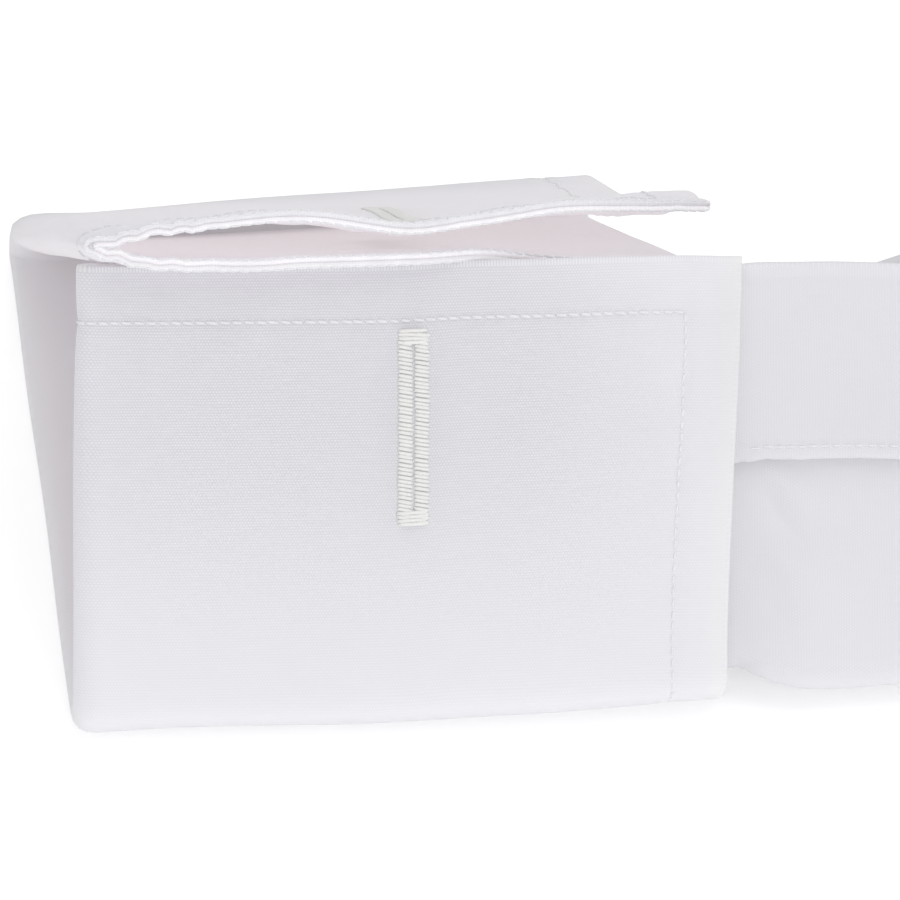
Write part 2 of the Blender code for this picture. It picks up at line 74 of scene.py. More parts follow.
# The column of a table at one place or many between its rows: a cubic with limited slopes.
def read(table, key, column, at):
    xs = np.asarray(table[key], float)
    ys = np.asarray(table[column], float)
    steps = np.diff(ys) / np.diff(xs)
    slopes = np.empty(len(xs))
    slopes[0], slopes[-1] = steps[0], steps[-1]
    before, after = steps[:-1], steps[1:]
    both = before * after
    slopes[1:-1] = np.where(both > 0, 2 * both / np.where(both > 0, before + after, 1), 0)
    at = np.clip(at, xs[0], xs[-1])
    i = np.clip(np.searchsorted(xs, at, side="right") - 1, 0, len(xs) - 2)
    width = xs[i + 1] - xs[i]
    t = (at - xs[i]) / width
    return (
        (2 * t**3 - 3 * t**2 + 1) * ys[i]
        + (t**3 - 2 * t**2 + t) * width * slopes[i]
        + (3 * t**2 - 2 * t**3) * ys[i + 1]
        + (t**3 - t**2) * width * slopes[i + 1]
    )


def unit(v):
    return v / np.maximum(np.linalg.norm(v, axis=-1, keepdims=True), 1e-12)


# A socket or a plain value that can be used in sums.
class Wire:
    def __init__(self, paint, value):
        self.paint = paint
        self.value = value

    def do(self, operation, *others):
        return self.paint.node("ShaderNodeMath", {"operation": operation}, [self, *others])

    def __add__(self, other):
        return self.do("ADD", other)

    def __sub__(self, other):
        return self.do("SUBTRACT", other)

    def __mul__(self, other):
        return self.do("MULTIPLY", other)

    def __truediv__(self, other):
        return self.do("DIVIDE", other)

    def __rsub__(self, other):
        return self.paint.node("ShaderNodeMath", {"operation": "SUBTRACT"}, [other, self])

    __radd__ = __add__
    __rmul__ = __mul__


# One material's node tree.
class Paint:
    def __init__(self, name):
        self.material = bpy.data.materials.new(name)
        self.material.use_nodes = True
        self.material.cycles.emission_sampling = "NONE"
        self.tree = self.material.node_tree
        self.tree.nodes.clear()

    def node(self, kind, settings, values, out=0):
        made = self.tree.nodes.new(kind)
        for key, value in settings.items():
            setattr(made, key, value)
        pairs = values.items() if isinstance(values, dict) else enumerate(values)
        for key, value in pairs:
            if isinstance(value, Wire):
                value = value.value
            if isinstance(value, bpy.types.NodeSocket):
                self.tree.links.new(value, made.inputs[key])
            elif value is not None:
                made.inputs[key].default_value = value
        return Wire(self, made.outputs[out]) if made.outputs else None

    def split(self, kind, wire):
        first = self.node(kind, {}, [wire]).value.node
        return [Wire(self, socket) for socket in first.outputs[:3]]

    def surface(self, values):
        return self.node("ShaderNodeBsdfPrincipled", {}, values)

    def bumps(self, height, strength):
        return self.node("ShaderNodeBump", {}, {"Strength": strength, "Distance": 1.0, "Height": height})

    def objectPlace(self):
        return self.node("ShaderNodeTexCoord", {}, {}, 3)

    # Colour a to colour b.
    def blend(self, amount, a, b):
        settings = {"data_type": "RGBA", "clamp_factor": True}
        return self.node("ShaderNodeMix", settings, {0: amount, 6: a, 7: b}, 2)

    def noise(self, vector, scale, detail=2.0):
        return self.node("ShaderNodeTexNoise", {}, {"Vector": vector, "Scale": scale, "Detail": detail})

    def finish(self, surface):
        self.node("ShaderNodeOutputMaterial", {}, {"Surface": surface})
        return self.material


poplin = {
    "colour": (0.90, 0.905, 0.93, 1),
    "threadShade": (0.60, 0.595, 0.65, 1),
    # painted highlight: the lighter, warmer tone put along the cuff's free edge
    "paintedEdgeLightColour": (0.88, 0.87, 0.865, 1),
    # painted light: the glow colour is given off by the cloth itself, standing in for light that comes
    # through it and bounces inside folds
    "glow": (0.64, 0.575, 0.56, 1),  # light that has come through the cloth, inside folds
    "across": 0.000335,  # thread spacing along the ribs
    "along": 0.00030,  # spacing of the ribs
    "softWeave": 0.3,  # how much of the weave shows where the cloth isn't crisp
    "weaveHeight": 0.00004,
    "slubHeight": 0.00012,
    "roughness": 0.88,
    "letsThrough": 0.3,
}


# Fine poplin: staggered thread crowns on ribs, faint slubs, and a little light let through.
def clothMaterial(name, ribsAlongV=False, settings=poplin):
    paint = Paint(name)
    place = paint.node("ShaderNodeUVMap", {"uv_map": "cloth"}, {})
    u, v, _ = paint.split("ShaderNodeSeparateXYZ", place)
    if ribsAlongV:
        u, v = v, u
    marks = paint.node("ShaderNodeAttribute", {"attribute_name": "tone"}, {})
    glow, crisp, paintedEdgeLight = paint.split("ShaderNodeSeparateColor", marks)
    turn = 2 * math.pi
    rib = (v * (turn / settings["along"])).do("COSINE") * 0.5 + 0.5
    crown = (u * (turn / settings["across"])).do("COSINE")
    crown = crown * (v * (turn / 2 / settings["along"])).do("COSINE")
    weave = rib * 0.4 + (crown * 0.5 + 0.5) * 0.6
    long = paint.node("ShaderNodeVectorMath", {"operation": "MULTIPLY"}, [place, (260, 2600, 1)])
    slub = paint.noise(long, 1.0)
    worn = paint.noise(paint.objectPlace(), 38.0, 3.0)
    shown = crisp * (1 - settings["softWeave"]) + settings["softWeave"]
    pits = (1 - weave) * shown
    amount = pits * 0.95 + (slub - 0.5) * 0.2 * shown
    tone = paint.blend(amount, settings["colour"], settings["threadShade"])
    tone = paint.blend((worn - 0.5) * 0.16, tone, settings["threadShade"])
    # Painted highlight: a lighter, warmer flat tone is blended in wherever the tone mark's third channel
    # is set.
    tone = paint.blend(paintedEdgeLight, tone, settings["paintedEdgeLightColour"])
    height = weave * shown * settings["weaveHeight"] + slub * shown * settings["slubHeight"] * 0.3
    cloth = paint.surface(
        {
            "Base Color": tone,
            "Roughness": (slub - 0.5) * 0.12 + settings["roughness"],
            "Normal": paint.bumps(height, 0.9),
            "Sheen Weight": 0.12,
            "Sheen Roughness": 0.5,
            "Specular IOR Level": 0.15,
            # Painted light: the cloth gives off the glow colour wherever the tone mark's first channel is
            # set.
            "Emission Color": paint.blend(glow, (0, 0, 0, 1), settings["glow"]),
            "Emission Strength": 1.0,
        }
    )
    through = paint.node("ShaderNodeBsdfTranslucent", {}, {"Color": (0.92, 0.905, 0.915, 1)})
    return paint.finish(paint.node("ShaderNodeMixShader", {}, [settings["letsThrough"], cloth, through]))


def threadMaterial(name, colour, roughness):
    paint = Paint(name)
    twist = paint.noise(paint.objectPlace(), 5200.0, 1.0)
    darker = tuple(c * 0.86 for c in colour[:3]) + (1,)
    values = {
        "Base Color": paint.blend((twist - 0.35) * 1.2, colour, darker),
        "Roughness": (twist - 0.5) * 0.2 + roughness,
        "Normal": paint.bumps(twist * 0.00006, 0.5),
        "Sheen Weight": 0.2,
        "Specular IOR Level": 0.3,
    }
    return paint.finish(paint.surface(values))


def pearlMaterial():
    paint = Paint("pearl")
    cloud = paint.noise(paint.objectPlace(), 210.0, 3.0)
    values = {
        "Base Color": paint.blend((cloud - 0.3) * 1.8, (0.86, 0.85, 0.82, 1), (0.72, 0.73, 0.76, 1)),
        "Roughness": (cloud - 0.5) * 0.2 + 0.24,
        "Coat Weight": 0.4,
        "Coat Roughness": 0.1,
    }
    return paint.finish(paint.surface(values))


cuffCloth = clothMaterial("cuff poplin")
bodyCloth = clothMaterial("poplin", ribsAlongV=True)
thread = threadMaterial("sewing thread", (0.78, 0.78, 0.805, 1), 0.85)
silk = threadMaterial("buttonhole thread", (0.79, 0.785, 0.775, 1), 0.85)
pearl = pearlMaterial()


def gridFaces(rows, columns, start=0, flip=False):
    index = np.arange(rows * columns).reshape(rows, columns) + start
    a, b, c, d = index[:-1, :-1], index[:-1, 1:], index[1:, 1:], index[1:, :-1]
    order = (a, b, c, d) if not flip else (a, d, c, b)
    return np.stack([part.ravel() for part in order], axis=1)


# A smooth mesh from arrays, with uvs given for each vertex, in metres.
def meshFrom(name, verts, faces, uvs, material, tones=None):
    mesh = bpy.data.meshes.new(name)
    mesh.vertices.add(len(verts))
    mesh.vertices.foreach_set("co", np.asarray(verts, np.float32).ravel())
    mesh.loops.add(faces.size)
    mesh.loops.foreach_set("vertex_index", faces.ravel().astype(np.int32))
    mesh.polygons.add(len(faces))
    size = faces.shape[1]
    mesh.polygons.foreach_set("loop_start", np.arange(0, faces.size, size, dtype=np.int32))
    if uvs is not None:
        layer = mesh.uv_layers.new(name="cloth")
        layer.data.foreach_set("uv", np.asarray(uvs, np.float32)[faces.ravel()].ravel())
    if tones is not None:
        marks = mesh.color_attributes.new(name="tone", type="FLOAT_COLOR", domain="POINT")
        whole = np.concatenate([tones, np.ones((len(tones), 1))], axis=1)
        marks.data.foreach_set("color", whole.astype(np.float32).ravel())
    mesh.update()
    mesh.validate()
    mesh.shade_smooth()
    mesh.materials.append(material)
    made = bpy.data.objects.new(name, mesh)
    bpy.context.scene.collection.objects.link(made)
    return made


# Unit normals of a grid of points, rows by columns.
def outward(points):
    down = np.gradient(points, axis=0)
    over = np.gradient(points, axis=1)
    return unit(np.cross(over, down))


def gridArea(points):
    over, down = points[:-1, 1:] - points[:-1, :-1], points[1:, :-1] - points[:-1, :-1]
    return float(np.linalg.norm(np.cross(over, down), axis=-1).sum())


# How a folded cloth edge rounds over: how far out it goes and how much thickness is left.
plainRim = {"out": (0.0, 0.55, 0.85, 1.0, 1.0), "half": (1.0, 0.92, 0.72, 0.4, 0.0)}
seamedRim = {
    "out": (0.0, 0.5, 0.86, 1.0, 0.98, 0.72, 0.42),
    "half": (1.0, 0.98, 0.86, 0.62, 0.36, 0.16, 0.0),
}


# A closed wall of cloth round a grid, its edges rounded; rims names the rim at the four edges.
def shell(name, points, normals, cloth, wall, material, rims, tone=None, under=None):
    def stretched(grid, axis, first, last):
        grid = np.moveaxis(grid, axis, 0)
        lead = unit(grid[0] - grid[1]) * wall / 2
        tail = unit(grid[-1] - grid[-2]) * wall / 2
        before = [grid[0] + lead * out for out in first["out"][:0:-1]]
        after = [grid[-1] + tail * out for out in last["out"][1:]]
        return np.moveaxis(np.concatenate([before, grid, after]), 0, axis)

    def held(grid, axis, first, last):
        grid = np.moveaxis(grid, axis, 0)
        before = [grid[0]] * (len(first["out"]) - 1)
        after = [grid[-1]] * (len(last["out"]) - 1)
        return np.moveaxis(np.concatenate([before, grid, after]), 0, axis)

    half = np.ones(points.shape[:2])
    tone = np.zeros(points.shape) if tone is None else tone
    under = tone if under is None else under
    for axis, (first, last) in enumerate((rims[:2], rims[2:])):
        points = stretched(points, axis, first, last)
        normals, cloth, half, tone, under = (
            held(grid, axis, first, last) for grid in (normals, cloth, half, tone, under)
        )
        edge = np.ones(half.shape[axis])
        edge[: len(first["half"]) - 1] = first["half"][:0:-1]
        edge[-len(last["half"]) + 1 :] = last["half"][1:]
        half = half * (edge[:, None] if axis == 0 else edge[None, :])
    rows, columns = half.shape
    lift = normals * (half * wall / 2)[..., None]
    top, bottom = (points + lift).reshape(-1, 3), (points - lift).reshape(-1, 3)
    turned = np.sum(outward(points) * normals) < 0
    low = gridFaces(rows, columns, rows * columns, flip=not turned)
    rim = np.zeros((rows, columns), bool)
    rim[[0, -1], :] = True
    rim[:, [0, -1]] = True
    shared = np.flatnonzero(rim.ravel())
    remap = np.arange(2 * rows * columns)
    remap[shared + rows * columns] = shared
    faces = remap[np.concatenate([gridFaces(rows, columns, flip=turned), low])]
    keep = np.unique(faces)
    back = np.zeros(len(remap), int)
    back[keep] = np.arange(len(keep))
    uvs = cloth.reshape(-1, 2)
    return meshFrom(
        name,
        np.concatenate([top, bottom])[keep],
        back[faces],
        np.concatenate([uvs, uvs])[keep],
        material,
        np.concatenate([tone.reshape(-1, 3), under.reshape(-1, 3)])[keep],
    )


# A wall of cloth made by thickening a grid; keep marks the faces that are there.
def sheetOf(name, points, cloth, wall, material, keep=None):
    rows, columns = points.shape[:2]
    faces = gridFaces(rows, columns)
    if keep is not None:
        faces = faces[keep.ravel()]
    made = meshFrom(name, points.reshape(-1, 3), faces, cloth.reshape(-1, 2), material)
    bm = bmesh.new()
    bm.from_mesh(made.data)
    bmesh.ops.remove_doubles(bm, verts=bm.verts, dist=0.02 * mm)
    loose = [v for v in bm.verts if not v.link_faces]
    bmesh.ops.delete(bm, geom=loose, context="VERTS")
    bm.to_mesh(made.data)
    bm.free()
    thick = made.modifiers.new("wall", "SOLIDIFY")
    thick.thickness = wall
    thick.offset = 0
    return made


sleeveAngle = math.radians(35)
sleeveLength = 640
cuffDepth = 72.0
innerDepth = 68.0
slitEnd = 205.0
slitClosed = 260.0
cuffInner = {
    "u": (0, 18, 36, 43, 50, 56, 62, 68),
    "aY": (25.8, 25.6, 25.3, 25.0, 24.8, 24.8, 25.0, 25.2),
    "aZ": (43.1, 42.6, 42.0, 41.5, 41.2, 41.3, 41.6, 42.0),
    "frontY": (2.4, 2.4, 2.4, 2.4, 2.5, 2.6, 2.7, 2.9),
    "frontZ": (2.4, 2.4, 2.6, 2.8, 3.0, 3.1, 3.2, 3.2),
    "backY": (87.2, 87.6, 88.2, 88.6, 89, 89.4, 89.7, 90),
    "backZ": (2.4, 2.4, 2.7, 2.9, 3.1, 3.2, 3.3, 3.4),
    "bY": (22.4, 22.4, 23.3, 25.2, 26.6, 27.2, 27.8, 28.4),
    "bZ": (46.6, 46.1, 45.8, 44.9, 42.9, 41.8, 41.0, 40.2),
    "frontFold": (2.3,) * 8,
    "frontTurn": (121,) * 8,
    "backFold": (2.2,) * 8,
    "backTurn": (76, 76, 75, 75, 74, 74, 74, 74),
}
cuffOuter = {
    "u": (0, 18, 36, 50, 60, 72),
    "aY": (24.3, 24.3, 24.3, 24.3, 24.3, 24.3),
    "aZ": (44.0, 43.8, 43.6, 43.8, 44.0, 44.2),
    "frontY": (-0.9, -0.9, -0.8, -0.6, -0.3, 0.1),
    "frontZ": (0.65, 0.65, 0.7, 0.9, 1.2, 1.5),
    "backY": (94.6, 95.0, 95.8, 96.7, 97.4, 98.2),
    "backZ": (0.65, 0.65, 0.8, 1.1, 1.4, 1.8),
    "bY": (24.3, 24.5, 24.4, 27.1, 30.8, 35.9),
    "bZ": (49.9, 50.4, 49.0, 48.9, 47.0, 43.8),
    "frontFold": (4.6,) * 6,
    "frontTurn": (121,) * 6,
    "backFold": (2.8,) * 6,
    "backTurn": (76,) * 6,
}
sleeve = {
    "u": (68.3, 68.9, 72.4, 74, 80, 95, 110, 130, 170, 205, 260, 360, 482, 640),
    "aY": (25.2, 25.2, 25.5, 25.6, 25.7, 25.7, 26, 27, 30, 34, 38, 42, 45, 48),
    "aZ": (42.0, 42.0, 42.6, 42.8, 43.2, 42.4, 39, 33, 19, 11.0, 6.0, 4.6, 4.3, 4.0),
    "frontY": (2.9, 2.9, 2.8, 2.0, 0.6, 1.2, -1, -5, -10, -14, -19, -27, -33, -35),
    "frontZ": (3.2, 3.2, 3.3, 2.7, 1.5, 0.9, 0.7, 0.6, 0.6, 0.6, 0.6, 0.6, 0.6, 0.6),
    "backY": (90, 90, 78, 77, 77, 78, 84, 97, 112, 121, 128, 135, 138, 134),
    "backZ": (3.4, 3.4, 3.4, 3.0, 1.5, 0.8, 0.6, 0.6, 0.6, 0.6, 0.6, 0.6, 0.6, 0.6),
    "ridgeY": (33.5, 33.5, 32.5, 32, 31.5, 31.6, 33, 36, 42, 46, 56, 60, 62, 64),
    "ridgeZ": (36.7, 36.7, 35.2, 35, 35, 34, 30, 24, 14, 8.8, 5.4, 4.5, 4.2, 4.0),
    "bY": (28.4, 28.4, 24, 21, 15, 12, 11, 12, 21, 36.5, 38, 42, 45, 48),
    "bZ": (40.2, 40.2, 26, 20, 12, 8, 6.4, 5.6, 5.0, 6.0, 6.0, 4.6, 4.3, 4.0),
    "frontFold": (2.3, 2.3, 2.3, 2.4) + (2.8,) * 10,
    "frontTurn": (121, 121, 121, 120, 119, 115, 108, 100, 92, 90, 90, 90, 90, 90),
    "backFold": (2.2, 2.2, 2.4, 2.6) + (2.8,) * 10,
    "backTurn": (74, 74, 76, 76, 78, 82, 86, 88) + (90,) * 6,
}


# Corners of the sections at many distances u, as (len(u), corners, 2).
def sectionCorners(table, u):
    value = {key: read(table, "u", key, u) for key in table if key != "u"}
    front = np.stack([value["frontY"], value["frontZ"]], axis=1)
    back = np.stack([value["backY"], value["backZ"]], axis=1)

    def up(name):
        angle = np.radians(value[name + "Turn"])
        return value[name + "Fold"][:, None] * np.stack([np.cos(angle), np.sin(angle)], axis=1)

    edgeA = np.stack([value["aY"], value["aZ"]], axis=1)
    edgeB = np.stack([value["bY"], value["bZ"]], axis=1)
    corners = [edgeA, front + up("front"), front, back, back + up("back")]
    if "ridgeY" in table:
        corners.append(np.stack([value["ridgeY"], value["ridgeZ"]], axis=1))
        edgeB = np.where((u >= slitClosed)[:, None], edgeA, edgeB)
    return np.stack(corners + [edgeB], axis=1)


# Rounded sections at many distances u: straights are lists of shares, arc the points on a bend.
def sections(table, u, straights, arc):
    corners = sectionCorners(table, u)
    cuts = []
    for k in range(1, corners.shape[1] - 1):
        before = corners[:, k - 1] - corners[:, k]
        after = corners[:, k + 1] - corners[:, k]
        long = [np.linalg.norm(v, axis=1, keepdims=True) for v in (before, after)]
        reach = np.minimum(0.38 * np.minimum(*long), 3.0)
        corner = corners[:, k]
        cuts.append((corner + before / long[0] * reach, corner, corner + after / long[1] * reach))
    points = []
    start = corners[:, 0]
    for k, shares in enumerate(straights):
        end = cuts[k][0] if k < len(cuts) else corners[:, -1]
        points += [mix(start, end, t) for t in shares]
        if k == len(cuts):
            points.append(end)
            break
        for j in range(arc):
            t = j / arc
            points.append(mix(mix(cuts[k][0], cuts[k][1], t), mix(cuts[k][1], cuts[k][2], t), t))
        start = cuts[k][2]
    return np.stack(points, axis=1)


# The sections at each place of a grid, from those worked out along an even line.
def sectionsAt(allSections, line, u):
    place = np.clip((u - line[0]) / (line[1] - line[0]), 0, len(line) - 1.001)
    low = place.astype(int)
    part = (place - low)[..., None]
    which = np.broadcast_to(np.arange(u.shape[-1]), u.shape)
    return allSections[low, which] * (1 - part) + allSections[low + 1, which] * part


def shares(count):
    return np.arange(count) / count


def sleeveFrame(side):
    along = np.array([-side * math.cos(sleeveAngle), math.sin(sleeveAngle), 0])
    across = np.array([side * math.sin(sleeveAngle), math.cos(sleeveAngle), 0])
    top = np.array([side * shoulder["x"], shoulder["y"] + planShift, 0])
    return top - along * sleeveLength - across * (sleeve["backY"][-1] - 2), along, across


# Section points (…, 2) at distances u (…) as points of the shirt, in metres.
def inSleeve(side, u, section):
    origin, along, across = sleeveFrame(side)
    up = np.array([0, 0, 1])
    u = np.broadcast_to(u, section.shape[:-1])[..., None]
    return (origin + along * u + across * section[..., :1] + up * section[..., 1:]) * mm


# Distance along a grid from its first row or column, in metres.
def arcLength(points, axis):
    steps = np.linalg.norm(np.diff(points, axis=axis), axis=-1)
    zero = np.zeros_like(np.take(steps, [0], axis=axis))
    return np.cumsum(np.concatenate([zero, steps], axis=axis), axis=axis)


# Height of the listed creases at (u, s).
def bend(u, s, creases):
    total = np.zeros(np.broadcast(u, s).shape)
    for u0, s0, u1, s1, wide, height in creases:
        du, ds = u1 - u0, s1 - s0
        long = math.hypot(du, ds)
        t = ((u - u0) * du + (s - s0) * ds) / long**2
        off = ((u - u0) * ds - (s - s0) * du) / long
        fade = smooth(t / 0.3) * smooth((1 - t) / 0.45)
        width = wide * (1 + 0.35 * np.sin(7 * t + wide))
        total += height * fade * np.exp(-((off / width) ** 2))
    return total


# Soft uneven swells, about 1 high, from a few crossed waves.
def ripple(u, s, size, seed):
    pick = np.random.default_rng(seed)
    total = 0
    for _ in range(7):
        angle = pick.uniform(0, math.pi)
        wave = size * pick.uniform(0.6, 1.7)
        phase = pick.uniform(0, 2 * math.pi)
        total = total + np.sin((u * math.cos(angle) + s * math.sin(angle)) * 2 * math.pi / wave + phase)
    return total / 4


# Short threads as closed tubes in one mesh.
def threads(name, paths, radius, material, sides=6):
    verts, faces, start = [], [], 0
    angles = np.arange(sides) * 2 * math.pi / sides
    for points, normal, thick in paths:
        points = np.asarray(points)
        count = len(points)
        tangent = unit(np.gradient(points, axis=0))
        side = unit(np.cross(tangent, normal))
        upward = np.cross(side, tangent)
        size = np.asarray(thick)[:, None, None] * radius
        ring = np.cos(angles)[None, :, None] * side[:, None]
        ring = ring + np.sin(angles)[None, :, None] * upward[:, None]
        verts.append((points[:, None] + size * ring).reshape(-1, 3))
        index = np.arange(count * sides).reshape(count, sides) + start
        over = np.roll(index, -1, axis=1)
        faces.append(np.stack([index[:-1], over[:-1], over[1:], index[1:]], axis=-1).reshape(-1, 4))
        for cap in (index[0][::-1], index[-1]):
            fan = [[cap[0], *cap[k : k + 3]] for k in range(1, sides - 2, 2)]
            faces.append(np.array(fan))
        start += count * sides
    return meshFrom(name, np.concatenate(verts), np.concatenate(faces), None, material)


stitch = {"pitch": 1.32, "cover": 0.84, "radius": 0.18, "rise": 0.06, "sink": 0.14}
fineStitch = {"pitch": 1.3, "cover": 0.7, "rise": 0.0, "sink": 0.12}
placketStitch = {"pitch": 1.3, "cover": 0.8, "radius": 0.11, "rise": 0.07, "sink": 0.1}
edgeBead = {"pitch": 1.25, "cover": 0.96, "radius": 0.15, "rise": 0.02, "sink": 0.06}


# The stitches of one sewn row, as thread paths, along a line on the cloth's surface.
def sewn(points, normals, settings=stitch, slant=0.1):
    gone = arcLength(points, 0)
    total = gone[-1] / mm
    count = max(1, int(round(total / settings["pitch"])))
    pitch = total / count
    paths = []

    def at(where, grid):
        return np.stack([np.interp(where * mm, gone, grid[:, k]) for k in range(3)], axis=-1)

    for k in range(count):
        shift = chance.normal(0, 0.03)
        middle = (k + 0.5 + shift) * pitch
        half = pitch * settings["cover"] / 2 * chance.uniform(0.94, 1.04)
        where = middle + half * np.array([-1, -0.8, -0.4, 0, 0.4, 0.8, 1])
        lift = np.array([-1, 0.1, 0.85, 1, 0.85, 0.1, -1])
        lift = np.where(lift < 0, lift * settings["sink"], lift * settings["rise"]) * mm
        normal = unit(at(middle, normals))
        line = at(where, points)
        aside = unit(np.cross(unit(line[-1] - line[0]), normal))
        drift = np.linspace(-1, 1, 7)[:, None] * slant * mm
        thick = np.array([0.55, 0.85, 1, 1.05, 1, 0.85, 0.55])
        paths.append((line + normal * lift[:, None] + aside * drift, normal, thick))
    return paths


# The line on a grid at a distance from its first column (or last, if negative), with row shares.
def alongRows(points, gone, distance):
    out = []
    for row in range(points.shape[0]):
        reach = distance * mm if distance > 0 else gone[row, -1] + distance * mm
        place = np.interp(reach, gone[row], np.arange(points.shape[1]))
        out.append(place)
    return np.array(out)


# The grid's value at fractional rows and columns.
def gridAt(grid, row, column):
    row = np.clip(row, 0, grid.shape[0] - 1.001)
    column = np.clip(column, 0, grid.shape[1] - 1.001)
    r, c = row.astype(int), column.astype(int)
    fr, fc = (row - r)[..., None], (column - c)[..., None]
    return (
        grid[r, c] * (1 - fr) * (1 - fc)
        + grid[r, c + 1] * (1 - fr) * fc
        + grid[r + 1, c] * fr * (1 - fc)
        + grid[r + 1, c + 1] * fr * fc
    )


def declare(made, node, area=None, extra=()):
    for piece in (made, *extra):
        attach(piece, "root")
    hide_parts(node)


cuffLook = {
    "wall": 1.3,
    "stitchMargin": 5.5,
    "swell": 0.4,
    "pucker": 0.15,
    "stitchGroove": 0.16,
    "seamBulge": 0.12,
    "holeStart": 6.9,
    "holeLength": 20.6,
    "holeWidth": 3.4,
    "holeFromFold": 36.0,
    "gather": 0.16,
    "holeThread": 0.225,
    # painted light: how strongly the inner layer and the cloth's inner faces round the gap glow
    "innerGlow": 0.14,
    "gapGlow": 0.4,
}
# Creases on the flap by distance from the wrist fold and from its upper edge.
flapBends = (
    (-2, 20, 10, 3, 3.4, -0.8),
    (-1, 10, 8, 1, 2.2, 0.35),
    (28, 2, 44, 24, 7, -0.3),
)
cuffBends = {
    "right": (
        (8, 6, 46, 30, 9, 0.36),
        (40, 2, 70, 26, 7, -0.32),
        (62, 10, 71, 44, 4, 0.3),
        (20, 40, 60, 46, 6, 0.36),
    ),
    "left": (
        (14, 4, 30, 34, 8, -0.22),
        (50, 8, 66, 40, 8, 0.26),
        (10, 42, 48, 38, 6, 0.22),
    ),
}
# Where the cuff really lies, against its plain solid: shifts in millimetres by distance from the wrist.
cuffSettle = {
    "u": (0, 7, 17, 24, 34, 42, 50, 60, 72),
    "topEdge": (-0.35, -0.4, -0.45, -0.45, -0.42, -0.1, -0.2, -0.25, -0.65),
    "frontFold": (0.4, 0.45, 0.5, 0.58, 0.68, 0.72, 0.75, 0.8, 1.0),
    "backFold": (-0.4, -0.1, 0.6, 0.95, 1.2, 1.35, 1.5, 1.5, 1.2),
    "flapEdge": (-0.55, -0.62, -0.25, 0.0, -0.5, 0.3, 0.27, -0.2, -0.9),
    "lowerEdge": (-0.55, -0.45, -0.54, -0.15, -0.2, -0.27, -0.2, 0, 0),
}


# The cuff's mid surface as rows from the turn-back's free end round the wrist fold to the sleeve.
def cuffGrid(side):
    # Columns on each straight run round the cuff, the front's first and the back's last, and on each arc.
    runs, arc = (64, 3, 34, 3, 76), 6
    front, back = runs[0], runs[-1]
    straights = [shares(count) for count in runs]
    lead = sum(runs[:-1]) + 4 * arc
    column = np.arange(lead + back + 1)
    fromA = np.clip(column / front, 0, 1)
    fromBack = np.clip((column - lead) / back, 0, 1)
    line = np.arange(0, 74, 0.5)
    outerAll = sections(cuffOuter, line, straights, arc)
    innerAll = sections(cuffInner, line, straights, arc)
    middle, half = (outerAll[0] + innerAll[0]) / 2, (outerAll[0] - innerAll[0]) / 2
    size = np.linalg.norm(half, axis=1)
    depth = cuffDepth - 1.7 * smooth(fromA) + 0.3 * smooth((column - front) / 70)
    outerU = size + np.linspace(1, 0.012, 90)[:, None] * (depth - size)
    innerU = size + np.linspace(0.02, 1, 46)[:, None] * (innerDepth - size)
    outer, inner = sectionsAt(outerAll, line, outerU), sectionsAt(innerAll, line, innerU)
    dip = 2.6 * np.sin(np.pi * fromBack) - 1.5 * np.sin(np.pi * smooth((fromBack - 0.66) / 0.34))
    outer[..., 1] -= dip * smooth((outerU - 34) / 38)
    turns = np.pi * np.arange(9) / 8
    folds = middle + half * np.cos(turns)[:, None, None]
    foldU = size * (1 - np.sin(turns)[:, None])
    section = np.concatenate([outer, folds, inner])
    u = np.concatenate([outerU, foldU, innerU])
    layer = np.concatenate([np.ones(90), np.linspace(1, 0, 9), np.zeros(46)])[:, None]
    # The two layers come together towards the wrist at the flap's edge, so that the gap ends in a point.
    near = np.exp(-((1 - fromBack) * 85 / 12)) * (fromBack > 0)
    pinch = 0.68 * near * (1 - smooth(u / 8))
    section += (sectionsAt((outerAll + innerAll) / 2, line, u) - section) * pinch[..., None]
    shift = {key: read(cuffSettle, "u", key, u) for key in cuffSettle if key != "u"}
    edge = mix(shift["lowerEdge"], shift["flapEdge"], layer)
    fold = shift["backFold"] * mix(0.15, 1, layer)
    lift = mix(shift["topEdge"], shift["frontFold"], smooth(fromA)) * mix(0.3, 1, layer)
    near = np.exp(-((1 - fromBack) * 85 / mix(12, 6, smooth((u - 52) / 8))))
    rise = np.where(fromBack > 0, mix(fold * (1 - smooth(fromBack)), edge, near), 0)
    under = np.clip((column - front) / (lead - front), 0, 1)
    rise = np.where(column < lead, mix(lift[:, front : front + 1], fold, under), rise)
    rise = np.where(column <= front, lift, rise)
    section[..., 1] += rise
    marks = (0, front, lead, lead + 40, lead + back)
    wrist = np.interp(column, marks, (0.15, -1.1, -0.8, -0.6, 0.5))
    free = np.interp(column, marks, (-0.45, -1.3, 0.2, 0.0, -0.3))
    still = mix(smooth((innerDepth - u) / 30), 1, layer)
    slid = u + mix(wrist, free, smooth(u / 72)) * still
    return inSleeve(side, slid, section), u, layer[:, 0]


